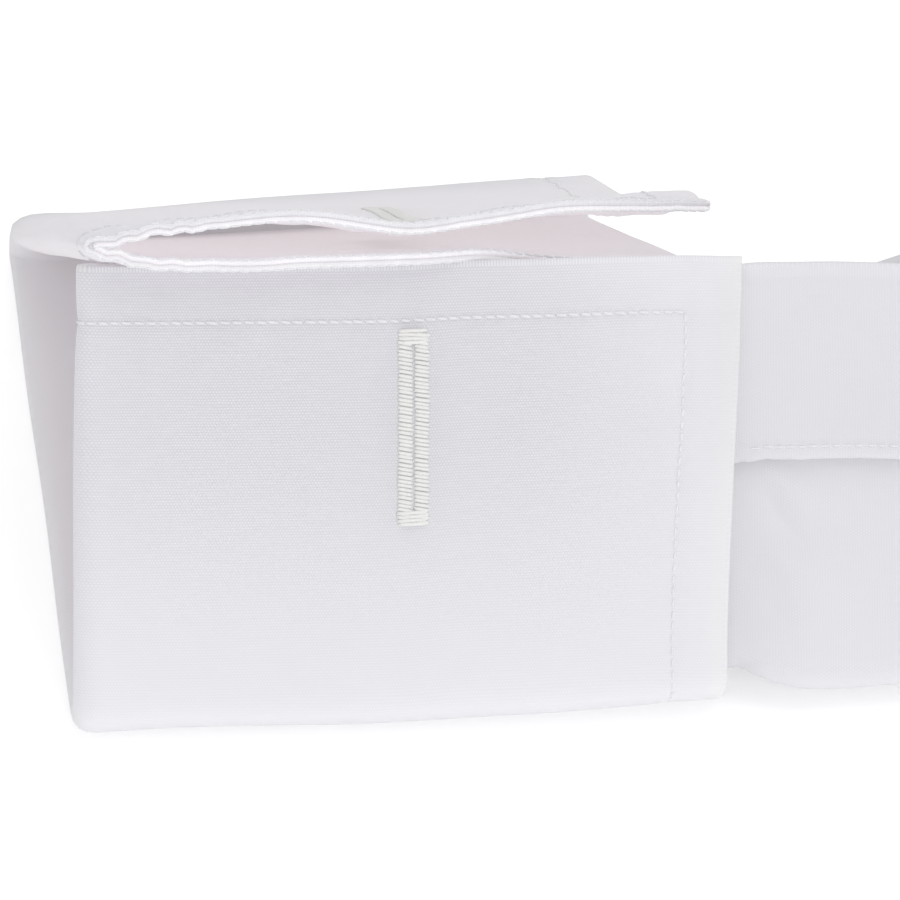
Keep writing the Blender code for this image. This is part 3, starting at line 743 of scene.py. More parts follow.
def makeCuff(side, word):
    look = cuffLook
    points, u, layer = cuffGrid(side)
    normals = outward(points) * side
    s = arcLength(points, 1)
    r = arcLength(points, 0)
    sMm, total = s / mm, s[:, -1:] / mm
    fromB = total - sMm
    # Distance from the free end and from the sleeve's end, round the fold.
    fromFree = r / mm
    fromSleeve = (r[-1:] - r) / mm
    outerPart = smooth(layer)[:, None]
    margin = look["stitchMargin"]
    lift = look["swell"] * ripple(u, sMm, 34, 5 + side) * smooth(fromFree / 10 + 0.4)
    lift *= 0.35 + 0.65 * outerPart
    lift += bend(u, sMm, cuffBends[word]) * outerPart * (sMm < 60)
    lift += bend(u, fromB, flapBends) * outerPart * (fromB < 60)
    for away in (sMm, fromB, fromFree, fromSleeve):
        nearStitch = np.exp(-(((away - margin) / 2.2) ** 2))
        along = u if away is sMm or away is fromB else sMm
        wave = np.sin(along * 2 * math.pi / 7.3 + 1.3 * np.sin(along / 5.1) + side)
        lift += look["pucker"] * nearStitch * wave
        groove = look["stitchGroove"] * (0.4 if away is fromB else 1)
        lift -= groove * np.exp(-(((away - margin) / 0.55) ** 2))
        lift += look["seamBulge"] * smooth(1 - away / margin)
    # The corner round the wrist fold is gathered where four layers turn.
    gather = np.exp(-((fromB / 3.4) ** 2)) * smooth(1 - (u - 9) / 8)
    lift += look["gather"] * gather * np.sin((r / mm) * 2 * math.pi / 3.1 + 0.6 * np.sin(r / mm))
    points = points + normals * (lift * mm)[..., None]
    normals = outward(points) * side
    cloth = np.stack([r, s], axis=-1)
    # Painted light: the tone mark's first channel makes the cloth glow a little on the outer layer and
    # more on the inner layer. It glows most on the inner faces round the gap, brightest near the flap's
    # edge, standing in for light let through and bounced inside the cuff.
    inside = 1 - outerPart + 0 * u
    crisp = smooth(1 - (u - 44) / 30) * smooth(1.42 - sMm / 34) * outerPart
    # Painted highlight: the strip along the turn-back's free end gets a lighter, warmer flat tone.
    paintedEdgeLight = 0.5 * smooth(1 - fromFree / 2.2) * outerPart
    tone = np.stack([inside * look["innerGlow"] + 0.02, crisp, paintedEdgeLight], axis=-1)
    nearB = smooth(1 - (fromB - 60) / 20)
    lit = 0.35 + nearB * (0.42 + 0.18 * smooth((fromB - 1) / 6))
    under = np.stack([look["gapGlow"] * lit + 0 * u, 0.2 + 0 * u, 0 * u], axis=-1)
    piece = shell(
        f"{word}_cuff_cloth", points, normals, cloth, look["wall"] * mm, cuffCloth,
        (seamedRim, plainRim, seamedRim, seamedRim), tone, under,
    )
    surface = points + normals * look["wall"] * mm / 2
    rows = np.arange(len(points), dtype=float)
    paths = []
    # The rows of stitches start and end where they meet the row across the free end.
    rowAtMargin = np.array([np.interp(margin * mm, r[:, c], rows) for c in range(points.shape[1])])
    rowAtSleeve = np.array([np.interp(r[-1, c] - 2 * mm, r[:, c], rows) for c in range(points.shape[1])])
    for distance, settings in ((margin, stitch), (-margin, fineStitch)):
        place = alongRows(points, s, distance)
        startRow = rowAtMargin[int(place[0])]
        pick = np.linspace(startRow, rowAtSleeve[0], 400)
        spots = np.interp(pick, rows, place)
        paths += sewn(gridAt(surface, pick, spots), gridAt(normals, pick, spots), settings)
    startColumn = alongRows(points, s, margin)[int(rowAtMargin[0])]
    endColumn = alongRows(points, s, -margin)[int(rowAtMargin[-1])]
    pick = np.linspace(startColumn, endColumn, 600)
    across = np.interp(pick, np.arange(points.shape[1]), rowAtMargin)
    paths += sewn(gridAt(surface, across, pick), gridAt(normals, across, pick), fineStitch, slant=0.04)
    sewing = threads(f"{word}_cuff_stitches", paths, stitch["radius"] * mm, thread)
    holes = []
    for fromEdge in ("a", "b"):
        for deep in (0, 1):
            holes += buttonhole(points, normals, s, u, layer, fromEdge, deep, look)
    work = threads(f"{word}_cuff_buttonholes", holes, look["holeThread"] * mm, silk)
    # The beads of the edge seam, where the two plies are closed round the wrist fold.
    rimOut = unit(points[:, -1] - points[:, -2])
    edges = []
    for lean in (0.42, -0.42):
        line = points[:, -1] + rimOut * 0.5 * mm + normals[:, -1] * lean * look["wall"] * mm
        way = unit(rimOut + normals[:, -1] * lean)
        paths = sewn(line, way, edgeBead, slant=0.06)
        place = "upper" if lean > 0 else "lower"
        beads = threads(f"{word}_cuff_edge_{place}", paths, edgeBead["radius"] * mm, thread)
        edges.append(beads)
    declare(piece, f"{word}_cuff", extra=[sewing, work, *edges])


# Thread paths of one buttonhole: two close columns and a bar at each end.
def buttonhole(points, normals, s, u, layer, fromEdge, deep, look):
    rows = np.flatnonzero(layer < 0.01) if deep else np.flatnonzero(layer > 0.99)
    block = points[rows]
    blockU = u[rows]
    order = 1 if blockU[0, 0] < blockU[-1, 0] else -1
    wall = look["wall"] / 2
    low = 0.12 if fromEdge == "b" else 1

    # The surface point at p from the edge and q from the wrist fold.
    def spot(p, q):
        middleRow = int(len(rows) / 2)
        length = s[rows[middleRow]] / mm
        target = p if fromEdge == "a" else length[-1] - p
        column = np.interp(target, length, np.arange(len(length)))
        line = blockU[:, int(column)][::order]
        row = np.interp(q, line, np.arange(len(line))[::order])
        where = (np.array([row]), np.array([column]))
        return gridAt(block, *where)[0], gridAt(normals[rows], *where)[0]

    centre = look["holeFromFold"]
    start, long, wide = look["holeStart"], look["holeLength"], look["holeWidth"]
    if deep:
        start, centre = start + 0.3, centre - 0.8
    paths = []

    def bar(p, q0, q1, rise, lean=0.0, thick=1.0):
        line, last = [], None
        for t, h in ((0, -0.5), (0.12, 0.5), (0.35, 1), (0.65, 1), (0.88, 0.5), (1, -0.5)):
            point, normal = spot(p + lean * (t - 0.5), mix(q0, q1, t))
            line.append(point + normal * (wall + rise * h) * mm)
            last = normal
        paths.append((line, last, np.array([0.7, 1, 1.05, 1.05, 1, 0.7]) * thick))

    count = int(long / 0.43)
    for k in range(count):
        p = start + (k + 0.5) * long / count
        for way in (-1, 1):
            jitter = chance.normal(0, 0.04, 3)
            inner = centre + way * (0.13 + 0.7 * jitter[0])
            outerEnd = centre + way * (wide / 2 + jitter[1])
            height = (0.08 + 0.04 * chance.random()) * low
            bar(p + jitter[2] * 0.6, inner, outerEnd, height, 0.34 * way, 1 + 0.2 * jitter[0])
    for end in (start - 0.2, start + long - 1.2):
        for k in range(4):
            jitter = chance.normal(0, 0.08, 2)
            reach = wide / 2 + 0.05
            height = (0.2 + 0.05 * chance.random()) * low
            lean = chance.normal(0, 0.1)
            bar(end + k * 0.4, centre - reach + jitter[0], centre + reach + jitter[1], height, lean)
    return paths


for side, word in ((-1, "right"), (1, "left")):
    makeCuff(side, word)
print("cuffs made")


sleeveLook = {
    "wall": 1.2,
    "placketWidth": 21.0,
    "placketWall": 1.0,
    "placketTip": 9.0,
    "bindingWidth": 9.0,
}
sleeveBends = {
    "right": (
        (73, 22, 82, 27, 1.6, 0.5),
        (73, 24, 80, 32, 1.4, -0.45),
        (73, 30, 86, 40, 3.0, 0.5),
        (71, 46, 104, 42, 2.2, -0.8),
        (71, 51, 112, 47, 2.4, 0.8),
        (96, 30, 170, 50, 9, 1.6),
        (150, 12, 240, 60, 8, -1.6),
        (230, 40, 330, 20, 11, 2.2),
        (290, 66, 390, 30, 10, -2.0),
        (380, 70, 500, 34, 14, 2.6),
        (430, 80, 540, 62, 12, -1.6),
    ),
    "left": (
        (73, 26, 92, 34, 3.0, 0.6),
        (73, 40, 108, 44, 2.6, -0.7),
        (100, 20, 190, 54, 9, 1.7),
        (180, 60, 270, 20, 10, -1.7),
        (250, 30, 350, 60, 11, 2.2),
        (330, 22, 430, 66, 12, -2.0),
        (420, 76, 520, 40, 13, 2.4),
    ),
}
sleeveBackBends = (
    (110, 26, 190, 60, 8, 1.6),
    (170, 70, 260, 30, 9, -1.5),
    (250, 40, 350, 76, 11, 2.1),
    (340, 80, 450, 30, 12, -1.8),
    (430, 20, 560, 70, 14, 2.3),
)


def armholeX(y):
    return read(armhole, "y", "x", y)


# The sleeve's mid surface from the cuff to the armhole's curve, and its u and column shares.
def sleeveGrid(side):
    counts = (50, 2, 26, 2, 46, 24)
    arc = 4
    straights = tuple(shares(c) for c in counts)
    columns = sum(counts) + arc * (len(counts) - 1) + 1
    line = np.arange(68.3, 668, 1.0)
    allSections = sections(sleeve, line, straights, arc)
    world = inSleeve(side, np.broadcast_to(line[:, None], allSections.shape[:2]), allSections) / mm
    y = world[..., 1] - planShift
    want = armholeX(y) + 0.9
    want = want + 1.1 * np.maximum(underarmY - y, 0) + 0.3 * np.maximum(y - shoulder["y"], 0)
    inside = np.abs(world[..., 0]) - want
    ends = np.array([np.interp(0, -inside[200:, c], line[200:]) for c in range(columns)])
    near = np.concatenate([[68.3, 68.9], np.arange(69.6, 112, 0.9), np.arange(112, 205, 3.0), [205]])
    far = np.linspace(0, 1, 84)[1:]
    u = np.concatenate(
        [np.repeat(near[:, None], columns, 1), slitEnd + far[:, None] * (ends[None, :] - slitEnd)]
    )
    section = sectionsAt(allSections, line, u)
    # The sleeve's face is a little lower at the top and drawn up at the bottom, next to the cuff.
    near = smooth(1 - (u - 95) / 90)
    column = np.arange(columns)[None, :]
    share = np.clip(column / counts[0], 0, 1)
    lift = mix(-0.35 - 0.65 * smooth((u - 72) / 8), 1.25 + 0.6 * smooth((u - 80) / 15), smooth(share))
    under = smooth(1 - (column - counts[0] - 8) / 30)
    section[..., 1] += lift * near * under * smooth((u - 68) / 3)
    return inSleeve(side, u, section), u, counts, arc


def makeSleeve(side, word):
    look = sleeveLook
    points, u, counts, arc = sleeveGrid(side)
    normals = outward(points) * -side
    s = arcLength(points, 1) / mm
    column = np.arange(points.shape[1])
    top = smooth((u - 72) / 6)
    endFade = smooth((u.max(axis=0)[None, :] - u) / 18 + 0.15)
    # The front half ends at the first fold, and the back half starts at the second.
    frontHalf = 1 - smooth((column - counts[0] + 6) / 8)
    backStart = sum(counts[:3]) + 3 * arc + counts[3]
    backHalf = smooth((column - backStart - 4) / 10)
    fromB = s[:, -1:] - s
    lift = bend(u, s, sleeveBends[word]) * frontHalf * top
    lift = lift + bend(u, fromB, sleeveBackBends) * backHalf * smooth((u - 100) / 30)
    broad = smooth((u - 110) / 80)
    swells = 0.9 * ripple(u, s, 120, 11 + side) * broad + 0.12 * ripple(u, s, 22, 3 + side)
    lift += swells * top * frontHalf
    lift += 0.9 * ripple(u, fromB, 120, 17 + side) * broad * backHalf
    seam = smooth((u - slitEnd + 40) / 60)
    # Nothing moves where the slit closes, so that the two edges meet.
    meet = np.minimum(smooth(s / 9), smooth(fromB / 9))
    lift = lift * endFade * mix(1, meet, seam)
    points = points + normals * (lift * mm)[..., None]
    cloth = np.stack([u * mm, s * mm], axis=-1)
    piece = sheetOf(f"{word}_sleeve_cloth", points, cloth, look["wall"] * mm, bodyCloth)
    normals = outward(points) * -side
    reach = s

    # A strip sewn on along the slit: it follows the sleeve's own points, moved out.
    def strip(name, uStops, fromEdge, width, wall, lift, widthSteps, tip=0.0, bulge=0.0):
        rowsU = u[:, 0]
        ownRows = np.interp(uStops, rowsU, np.arange(len(rowsU)))
        grid, ups = [], []
        for k, row in enumerate(ownRows):
            line = reach[int(row)] if fromEdge == "a" else fromB[int(row)]
            t = np.linspace(0, 1, widthSteps)
            want = 0.3 + t * width
            if fromEdge == "a":
                spots = np.interp(want, line, column)
            else:
                spots = np.interp(want, line[::-1], column[::-1])
            rowHere = np.full(widthSteps, row)
            if tip and k >= len(ownRows) - 14:
                limit = np.interp(uStops[-1] - tip * np.abs(2 * t - 1), rowsU, np.arange(len(rowsU)))
                rowHere = np.minimum(rowHere, limit)
            up = gridAt(normals, rowHere, spots)
            edge = bulge * np.exp(-(((np.minimum(t, 1 - t) * width - 1.3) / 0.5) ** 2))
            grid.append(gridAt(points, rowHere, spots) + up * (lift - edge[:, None]) * mm)
            ups.append(up)
        grid, ups = np.array(grid), np.array(ups)
        uv = np.stack(np.broadcast_arrays(np.asarray(uStops)[:, None], want[None]), -1)
        made = shell(name, grid, ups, uv * mm, wall * mm, bodyCloth, (plainRim,) * 4)
        return made, grid, ups

    lift = (look["wall"] + look["placketWall"]) / 2 + 0.25
    runs = ((70.2, 112, 0.7), (112, 196, 2.4), (196, 205.1, 0.6))
    stops = np.concatenate([np.arange(*run) for run in runs])
    placket, grid, ups = strip(
        f"{word}_placket_cloth", stops, "a", look["placketWidth"] - 0.3, look["placketWall"], lift, 46,
        tip=look["placketTip"], bulge=0.14,
    )
    surface = grid + ups * look["placketWall"] / 2 * mm
    lower = int(46 * (1 - 1.3 / look["placketWidth"]))
    paths = []
    keepRows = slice(4, len(stops) - 4)
    paths += sewn(surface[keepRows, lower], ups[keepRows, lower], placketStitch, slant=0.05)
    sewing = threads(f"{word}_placket_stitches", paths, placketStitch["radius"] * mm, thread)
    bindStops = np.concatenate([np.arange(84, 112, 1.4), np.arange(112, 190, 3)])
    wide, wall = look["bindingWidth"], look["placketWall"]
    binding, _, _ = strip(f"{word}_binding_cloth", bindStops, "b", wide, wall, lift + 0.5, 12)
    declare(piece, f"{word}_sleeve", area=min(gridArea(points), 0.228))
    declare(placket, f"{word}_sleeve_placket", extra=[sewing])
    declare(binding, f"{word}_sleeve_binding", area=0.00096)


for side, word in ((-1, "right"), (1, "left")):
    makeSleeve(side, word)
print("sleeves made")


# Points of the shirt from its plan, in metres.
def plan(x, y, z):
    return np.stack(np.broadcast_arrays(x, y + planShift, z), axis=-1) * mm


def flatPlan(x, y):
    return plan(x, y, 0 * x)[..., :2]


def bodyX(y):
    return np.where(y < underarmY, read(sideSeam, "y", "x", y), armholeX(y))


def frontHeight(x, y):
    crown = smooth((bodyX(y) - np.abs(x)) / 70)
    swell = 0.5 * np.sin(x / 47 + 0.9) * np.sin(y / 83) + 0.5 * np.cos((x + 1.6 * y) / 61)
    return 2.2 + crown * (0.9 + 0.6 * swell)


bodyLook = {"wall": 1.2, "bandWidth": 34.0, "hemDepth": 7.0, "bandStitch": 5.0}
bodyStitch = {"pitch": 1.7, "cover": 0.8, "radius": 0.16, "rise": 0.12, "sink": 0.1}
frontCreases = {
    "left": (
        (60, -150, 150, -330, 13, 2.2),
        (210, -250, 110, -420, 12, 2.4),
        (190, -300, 90, -250, 9, -1.0),
        (40, -430, 200, -560, 16, 1.9),
        (70, -600, 190, -690, 12, 1.6),
        (150, -120, 195, -215, 9, 1.5),
    ),
    "right": (
        (60, -130, 170, -300, 14, 2.1),
        (225, -262, 130, -380, 11, 2.3),
        (50, -350, 180, -470, 15, 2.2),
        (220, -440, 90, -590, 13, 1.7),
        (60, -560, 120, -720, 12, 1.4),
        (140, -110, 190, -190, 9, 1.4),
    ),
}


def bodyRow(face, normals, rows, columns):
    return sewn(gridAt(face, rows, columns), gridAt(normals, rows, columns), bodyStitch)


def bodyThreads(name, paths):
    return threads(name, paths, bodyStitch["radius"] * mm, thread, sides=4)


# A panel in one wall, with the normals of its face turned up or down, and its upper face.
def clothFace(name, points, uvs, wall, rims=(plainRim,) * 4, up=True):
    normals = outward(points)
    if (normals[..., 2].mean() > 0) != up:
        normals = -normals
    made = shell(name, points, normals, uvs, wall * mm, bodyCloth, rims)
    return made, points + normals * wall * mm / 2, normals


def makeFront(side, word, inner):
    share = np.linspace(0, 1, 70)[None, :]
    level = np.linspace(-690, -76, 110)[:, None]
    x = mix(inner, bodyX(level), share)
    reach = np.abs(x)
    slide = (reach - 80) / (bodyX(np.array([-76.0]))[0] - 80)
    top = np.where(reach < 80, read(frontNeck, "x", "y", reach), mix(-34, -76, slide))
    rise = (level + 690) / 614
    y = mix(read(hem, "x", "front", reach), top - 1, rise)
    y = mix(y, level - rise, smooth((share - 0.7) / 0.3))
    z = frontHeight(x, y)
    inward = smooth((bodyX(level) - x) / 26) * smooth((y - read(hem, "x", "front", reach)) / 20)
    soft = inward * smooth((x - 17) / 22) * smooth((top - y) / 22)
    folds = bend(x, y, frontCreases[word])
    z = z + soft * (np.where(folds > 0, 1.35, 0.8) * folds + 0.45 * (1 + ripple(x, y, 90, 31 + side)))
    fromHem = y - read(hem, "x", "front", reach)
    z = z + 0.12 * np.exp(-(((fromHem - 7) / 2.4) ** 2)) * np.sin(x / 1.9) * smooth(soft + 0.5)
    points = plan(side * x, y, z)
    made, face, normals = clothFace(f"{word}_front_cloth", points, flatPlan(x, y), bodyLook["wall"])
    spots = np.linspace(2, 67, 260)
    hemAt = bodyLook["hemDepth"]
    rowsAt = np.array([np.interp(hemAt, fromHem[:, int(c)], np.arange(110)) for c in spots])
    sewing = bodyThreads(f"{word}_front_hem_stitches", bodyRow(face, normals, rowsAt, spots))
    return made, sewing, points


def makeBody():
    half = bodyLook["bandWidth"] / 2
    for side, word, inner in ((1, "left", half + seamGap), (-1, "right", -(half - seamGap))):
        made, sewing, points = makeFront(side, word, inner)
        declare(made, f"{word}_front", area=gridArea(points), extra=[sewing])
    share = np.linspace(-1, 1, 130)[None, :]
    level = np.linspace(-690, yokeSeamY, 100)[:, None]
    x = share * bodyX(level)
    bottom = read(hem, "x", "back", np.abs(x))
    y = mix(bottom, yokeSeamY, (level + 690) / (yokeSeamY + 690))
    y = mix(y, level, smooth((np.abs(share) - 0.7) / 0.3))
    z = 0.6 + 0 * x
    points, wall = plan(x, y, z), bodyLook["wall"]
    made, face, normals = clothFace("back_cloth", points, flatPlan(x, y), wall, up=False)
    spots = np.linspace(1, 128, 300)
    fromHem, hemAt = y - bottom, bodyLook["hemDepth"]
    rowsAt = np.array([np.interp(hemAt, fromHem[:, int(c)], np.arange(100)) for c in spots])
    low = bodyStitch | {"rise": 0.02}
    lines = sewn(gridAt(face, rowsAt, spots), gridAt(normals, rowsAt, spots), low)
    sewing = threads("back_hem_stitches", lines, 0.1 * mm, thread, sides=4)
    declare(made, "back", extra=[sewing])


def makeYoke():
    low, neckTop = yokeSeamY + seamGap, read(frontNeck, "x", "y", 80)
    counts = {"neck": 36, "side": 44, "back": 26, "fold": 10, "front": 26}
    columns = counts["neck"] + 2 * counts["side"] + 1
    column = np.arange(columns)[None, :]
    middle = (columns - 1) / 2
    beyond = np.abs(column - middle) - counts["neck"] / 2
    sign = np.where(column > middle, 1, -1)
    share = np.clip(beyond / counts["side"], 0, 1)
    acrossNeck = neckX * np.abs(column - middle) / (counts["neck"] / 2)
    topX = np.where(beyond <= 0, acrossNeck, mix(neckX, shoulder["x"], share))
    slope = shoulder["y"] * (topX - neckX) / (shoulder["x"] - neckX)
    top = np.where(topX < neckX, read(backNeck, "x", "y", topX), slope)
    rise = np.linspace(0, 1, counts["back"] + 1)[:, None]
    y1 = mix(low, top, rise)
    x1 = np.where(beyond > 0, mix(neckX, armholeX(y1), share), topX + 0 * y1)
    z1 = 0.6 + 0 * y1
    turn = np.pi * np.linspace(0, 1, counts["fold"] + 1)[1:, None]
    lift = 2.7 - 0.6
    y2 = top + lift / 2 * np.sin(turn)
    x2 = topX + 0 * y2
    z2 = 0.6 + lift / 2 * (1 - np.cos(turn)) + 0 * y2
    drop = np.linspace(0, 1, counts["front"] + 1)[1:, None]
    y3 = mix(top, mix(neckTop, -76, share), drop)
    x3 = mix(mix(neckX, 80, drop), armholeX(y3), share)
    z3 = mix(2.7, frontHeight(x3, y3), drop)
    soft = np.sin(np.pi * share) * np.sin(np.pi * np.clip(drop, 0, 1))
    z3 = z3 + 0.5 * soft * (1 + ripple(x3 * sign, y3, 60, 77))
    x, y, z = (np.concatenate(parts) for parts in ((x1, x2, x3), (y1, y2, y3), (z1, z2, z3)))
    points = plan(sign * x, y, z)
    rows = len(points)
    keep = np.ones((rows - 1, columns - 1), bool)
    keep[counts["back"] :, counts["side"] : counts["side"] + counts["neck"]] = False
    gone = np.cumsum(np.linalg.norm(np.diff(points, axis=0, prepend=points[:1]), axis=-1), axis=0)
    uvs = np.stack([points[..., 0], gone], axis=-1)
    made = sheetOf("yoke_cloth", points, uvs, 1.2 * mm, bodyCloth, keep)
    paths = []
    row = np.full(90, rows - 1 - 2.0)
    for first in (1.0, counts["side"] + counts["neck"] + 1.0):
        spots = first + np.linspace(0, counts["side"] - 2, 90)
        normals = np.tile([0, 0, 1.0], (90, 1))
        paths += sewn(gridAt(points, row, spots) + normals * 0.6 * mm, normals, bodyStitch)
    sewing = bodyThreads("yoke_stitches", paths)
    declare(made, "yoke", area=0.0556, extra=[sewing])


def bandHeight(y):
    return np.max([frontHeight(x, y) for x in (-17, -8, 0, 8, 17)], axis=0) + 1.2 + seamGap


def makeBand():
    y = np.linspace(hem["front"][0], frontNeck["y"][0] - 1, 240)[:, None]
    width, margin = bodyLook["bandWidth"], bodyLook["bandStitch"]
    x = np.linspace(-width / 2, width / 2, 40)[None, :]
    fromStitch = width / 2 - np.abs(x) - margin
    pucker = np.exp(-((fromStitch / 2.2) ** 2)) * np.sin(y / 1.7 + np.sin(y / 7)) * 0.1
    z = bandHeight(y) + 0 * x + pucker + 0.12 * (1 + np.sin(y / 21 + x / 9))
    z = z - 0.14 * np.exp(-((fromStitch / 0.6) ** 2))
    points = plan(x, y, z)
    rims = (plainRim, plainRim, seamedRim, seamedRim)
    wall = bodyLook["wall"]
    made, face, normals = clothFace("front_placket_cloth", points, flatPlan(x, y), wall, rims)
    paths = []
    for place in (margin, width - margin):
        spots = np.full(400, place / width * 39)
        pick = np.linspace(1, 238, 400)
        paths += bodyRow(face, normals, pick, spots)
    sewing = bodyThreads("front_placket_stitches", paths)
    declare(made, "front_placket", extra=[sewing])


makeBody()
makeYoke()
makeBand()
print("body made")


collar = {
    "angle": (0, 25, 55, 80, 100, 120, 150, 180),
    "footX": (0, 33, 62, 74, 75, 66, 36, 0),
    "footY": (-85, -79, -55, -28, -8, 0, -8, -12),
    "footZ": (5.2, 5.2, 5.0, 4.6, 4.2, 2.6, 1.3, 1.1),
    "foldX": (0, 33, 62, 74, 76, 68, 38, 0),
    "foldY": (-66, -61, -44, -22, -4, 8, 13, 14),
    "foldZ": (25, 27, 33, 37, 38, 37, 35, 34),
    "edgeX": (34, 48, 88, 107, 112, 100, 56, 0),
    "edgeY": (-126, -128, -86, -48, -8, 22, 42, 48),
    "edgeZ": (7.0, 7.0, 7.0, 7.0, 6.6, 3.0, 1.4, 1.1),
}
collarLook = {"standWall": 1.6, "leafWall": 1.4, "overlap": 9.0, "leafStart": 5.0, "stitchMargin": 5.5}


def collarAt(part, angle):
    turn = (angle + 180) % 360 - 180
    away = np.abs(turn)
    x, y, z = (read(collar, "angle", f"{part}{axis}", away) for axis in "XYZ")
    if part != "edge":
        x = np.where(away < 25, 33 * np.sin(np.radians(away)) / np.sin(np.radians(25)), x)
    return np.stack([np.where(turn >= 0, x, -x), y, z], axis=-1)


# A smooth run through a few rows of points, as many rows.
def spread(knots, count):
    t = np.linspace(0, len(knots) - 1, count)
    i = np.minimum(t.astype(int), len(knots) - 2)
    f = (t - i)[:, None, None]
    before, after = knots[np.maximum(i - 1, 0)], knots[np.minimum(i + 2, len(knots) - 1)]
    a, b = knots[i], knots[i + 1]
    cubic = 3 * (a - b) + after - before
    square = 2 * before - 5 * a + 4 * b - after
    return a + 0.5 * f * (b - before + f * (square + f * cubic))


def makeCollar():
    look = collarLook
    gap = look["standWall"] + seamGap + 0.2
    push = np.array([0, -0.72, 0.69])
    angle = np.linspace(-look["overlap"], 360 + look["overlap"], 260)
    foot, fold = collarAt("foot", angle), collarAt("fold", angle)
    over = 1 - smooth((angle - look["overlap"] - 3) / 14)
    share = np.linspace(0, 1, 24)[:, None, None]
    points = mix(foot, fold, share) + push * gap * over[:, None]
    around = np.cumsum(np.linalg.norm(np.diff(foot, axis=0, prepend=foot[:1]), axis=-1))
    uvs = np.stack(np.broadcast_arrays(around[None, :], share[..., 0] * 32), axis=-1) * mm
    world = (points + np.array([0, planShift, 0])) * mm
    normals = outward(world)
    outside = unit(world[:, 60:61] - world.mean(axis=(0, 1)))
    if np.sum(normals[:, 60:61] * outside) < 0:
        normals = -normals
    wall, rims = look["standWall"] * mm, (plainRim,) * 4
    stand = shell("collar_stand_cloth", world, normals, uvs, wall, bodyCloth, rims)
    face = world + normals * look["standWall"] * mm / 2
    pick = np.full(500, 23 * 0.12)
    spots = np.linspace(3, 256, 500)
    sewing = bodyThreads("collar_stand_stitches", bodyRow(face, normals, pick, spots))
    declare(stand, "collar_stand", area=gridArea(world), extra=[sewing])
    angle = np.linspace(look["leafStart"], 360 - look["leafStart"], 300)
    foot, fold, edge = (collarAt(part, angle) for part in ("foot", "fold", "edge"))
    up, out = unit(fold - foot), unit(edge - fold)
    lift = look["standWall"] + seamGap + 0.4
    over = 1 - smooth((np.minimum(angle, 360 - angle) - look["overlap"] - 3) / 14)
    extra = push * gap * over[:, None]
    knots = [fold + up * lift + extra, fold + unit(up + out) * (lift + 0.9) + extra]
    clear = fold + out * lift * 1.2 + up * 0.6
    for part in (0.25, 0.5, 0.75, 1.0):
        crown = np.array([0, 0, 3.0]) * math.sin(math.pi * part)
        knots.append(mix(clear, edge, part) + crown + extra * (1 - part))
    points = spread(np.array(knots), 56)
    down = np.linspace(0, 1, 56)[:, None]
    swell = ripple(angle[None, :] * 1.6, down * 40, 60, 41) * 0.35 * np.sin(np.pi * down)
    points[..., 2] += swell * smooth((down - 0.3) / 0.2)
    around = np.cumsum(np.linalg.norm(np.diff(edge, axis=0, prepend=edge[:1]), axis=-1))
    uvs = np.stack(np.broadcast_arrays(around[None, :], down * 60), axis=-1) * mm
    world = (points + np.array([0, planShift, 0])) * mm
    normals = outward(world)
    if normals[40, :, 2].mean() < 0:
        normals = -normals
    leaf = shell(
        "collar_leaf_cloth", world, normals, uvs, look["leafWall"] * mm, bodyCloth,
        (plainRim, seamedRim, seamedRim, seamedRim),
    )
    face = world + normals * look["leafWall"] * mm / 2
    gone = arcLength(world, 0) / mm
    side = arcLength(world, 1) / mm
    margin = look["stitchMargin"]
    rowsIndex = np.arange(56.0)
    edgeRow = np.array([np.interp(gone[-1, c] - margin, gone[:, c], rowsIndex) for c in range(300)])
    spots = np.linspace(6, 293, 700)
    pick = np.interp(spots, np.arange(300), edgeRow)
    paths = bodyRow(face, normals, pick, spots)
    for last in (False, True):
        line = side[:, -1:] - side if last else side
        order = -1 if last else 1
        columns = np.arange(300.0)[::order]
        column = np.array([np.interp(margin, row[::order], columns) for row in line])
        pick = np.linspace(14, edgeRow[6 if not last else 293], 60)
        across = np.interp(pick, rowsIndex, column)
        paths += bodyRow(face, normals, pick, across)
    sewing = bodyThreads("collar_leaf_stitches", paths)
    size = gridArea(world)
    declare(leaf, "collar_leaf", area=size, extra=[sewing])


makeCollar()
print("collar made")


buttonLook = {
    "radius": 5.6,
    "thick": 2.2,
    "holeRadius": 0.85,
    "holeFromMiddle": 1.45,
    "pitch": 88.0,
    "first": -152.0,
    "count": 6,
}


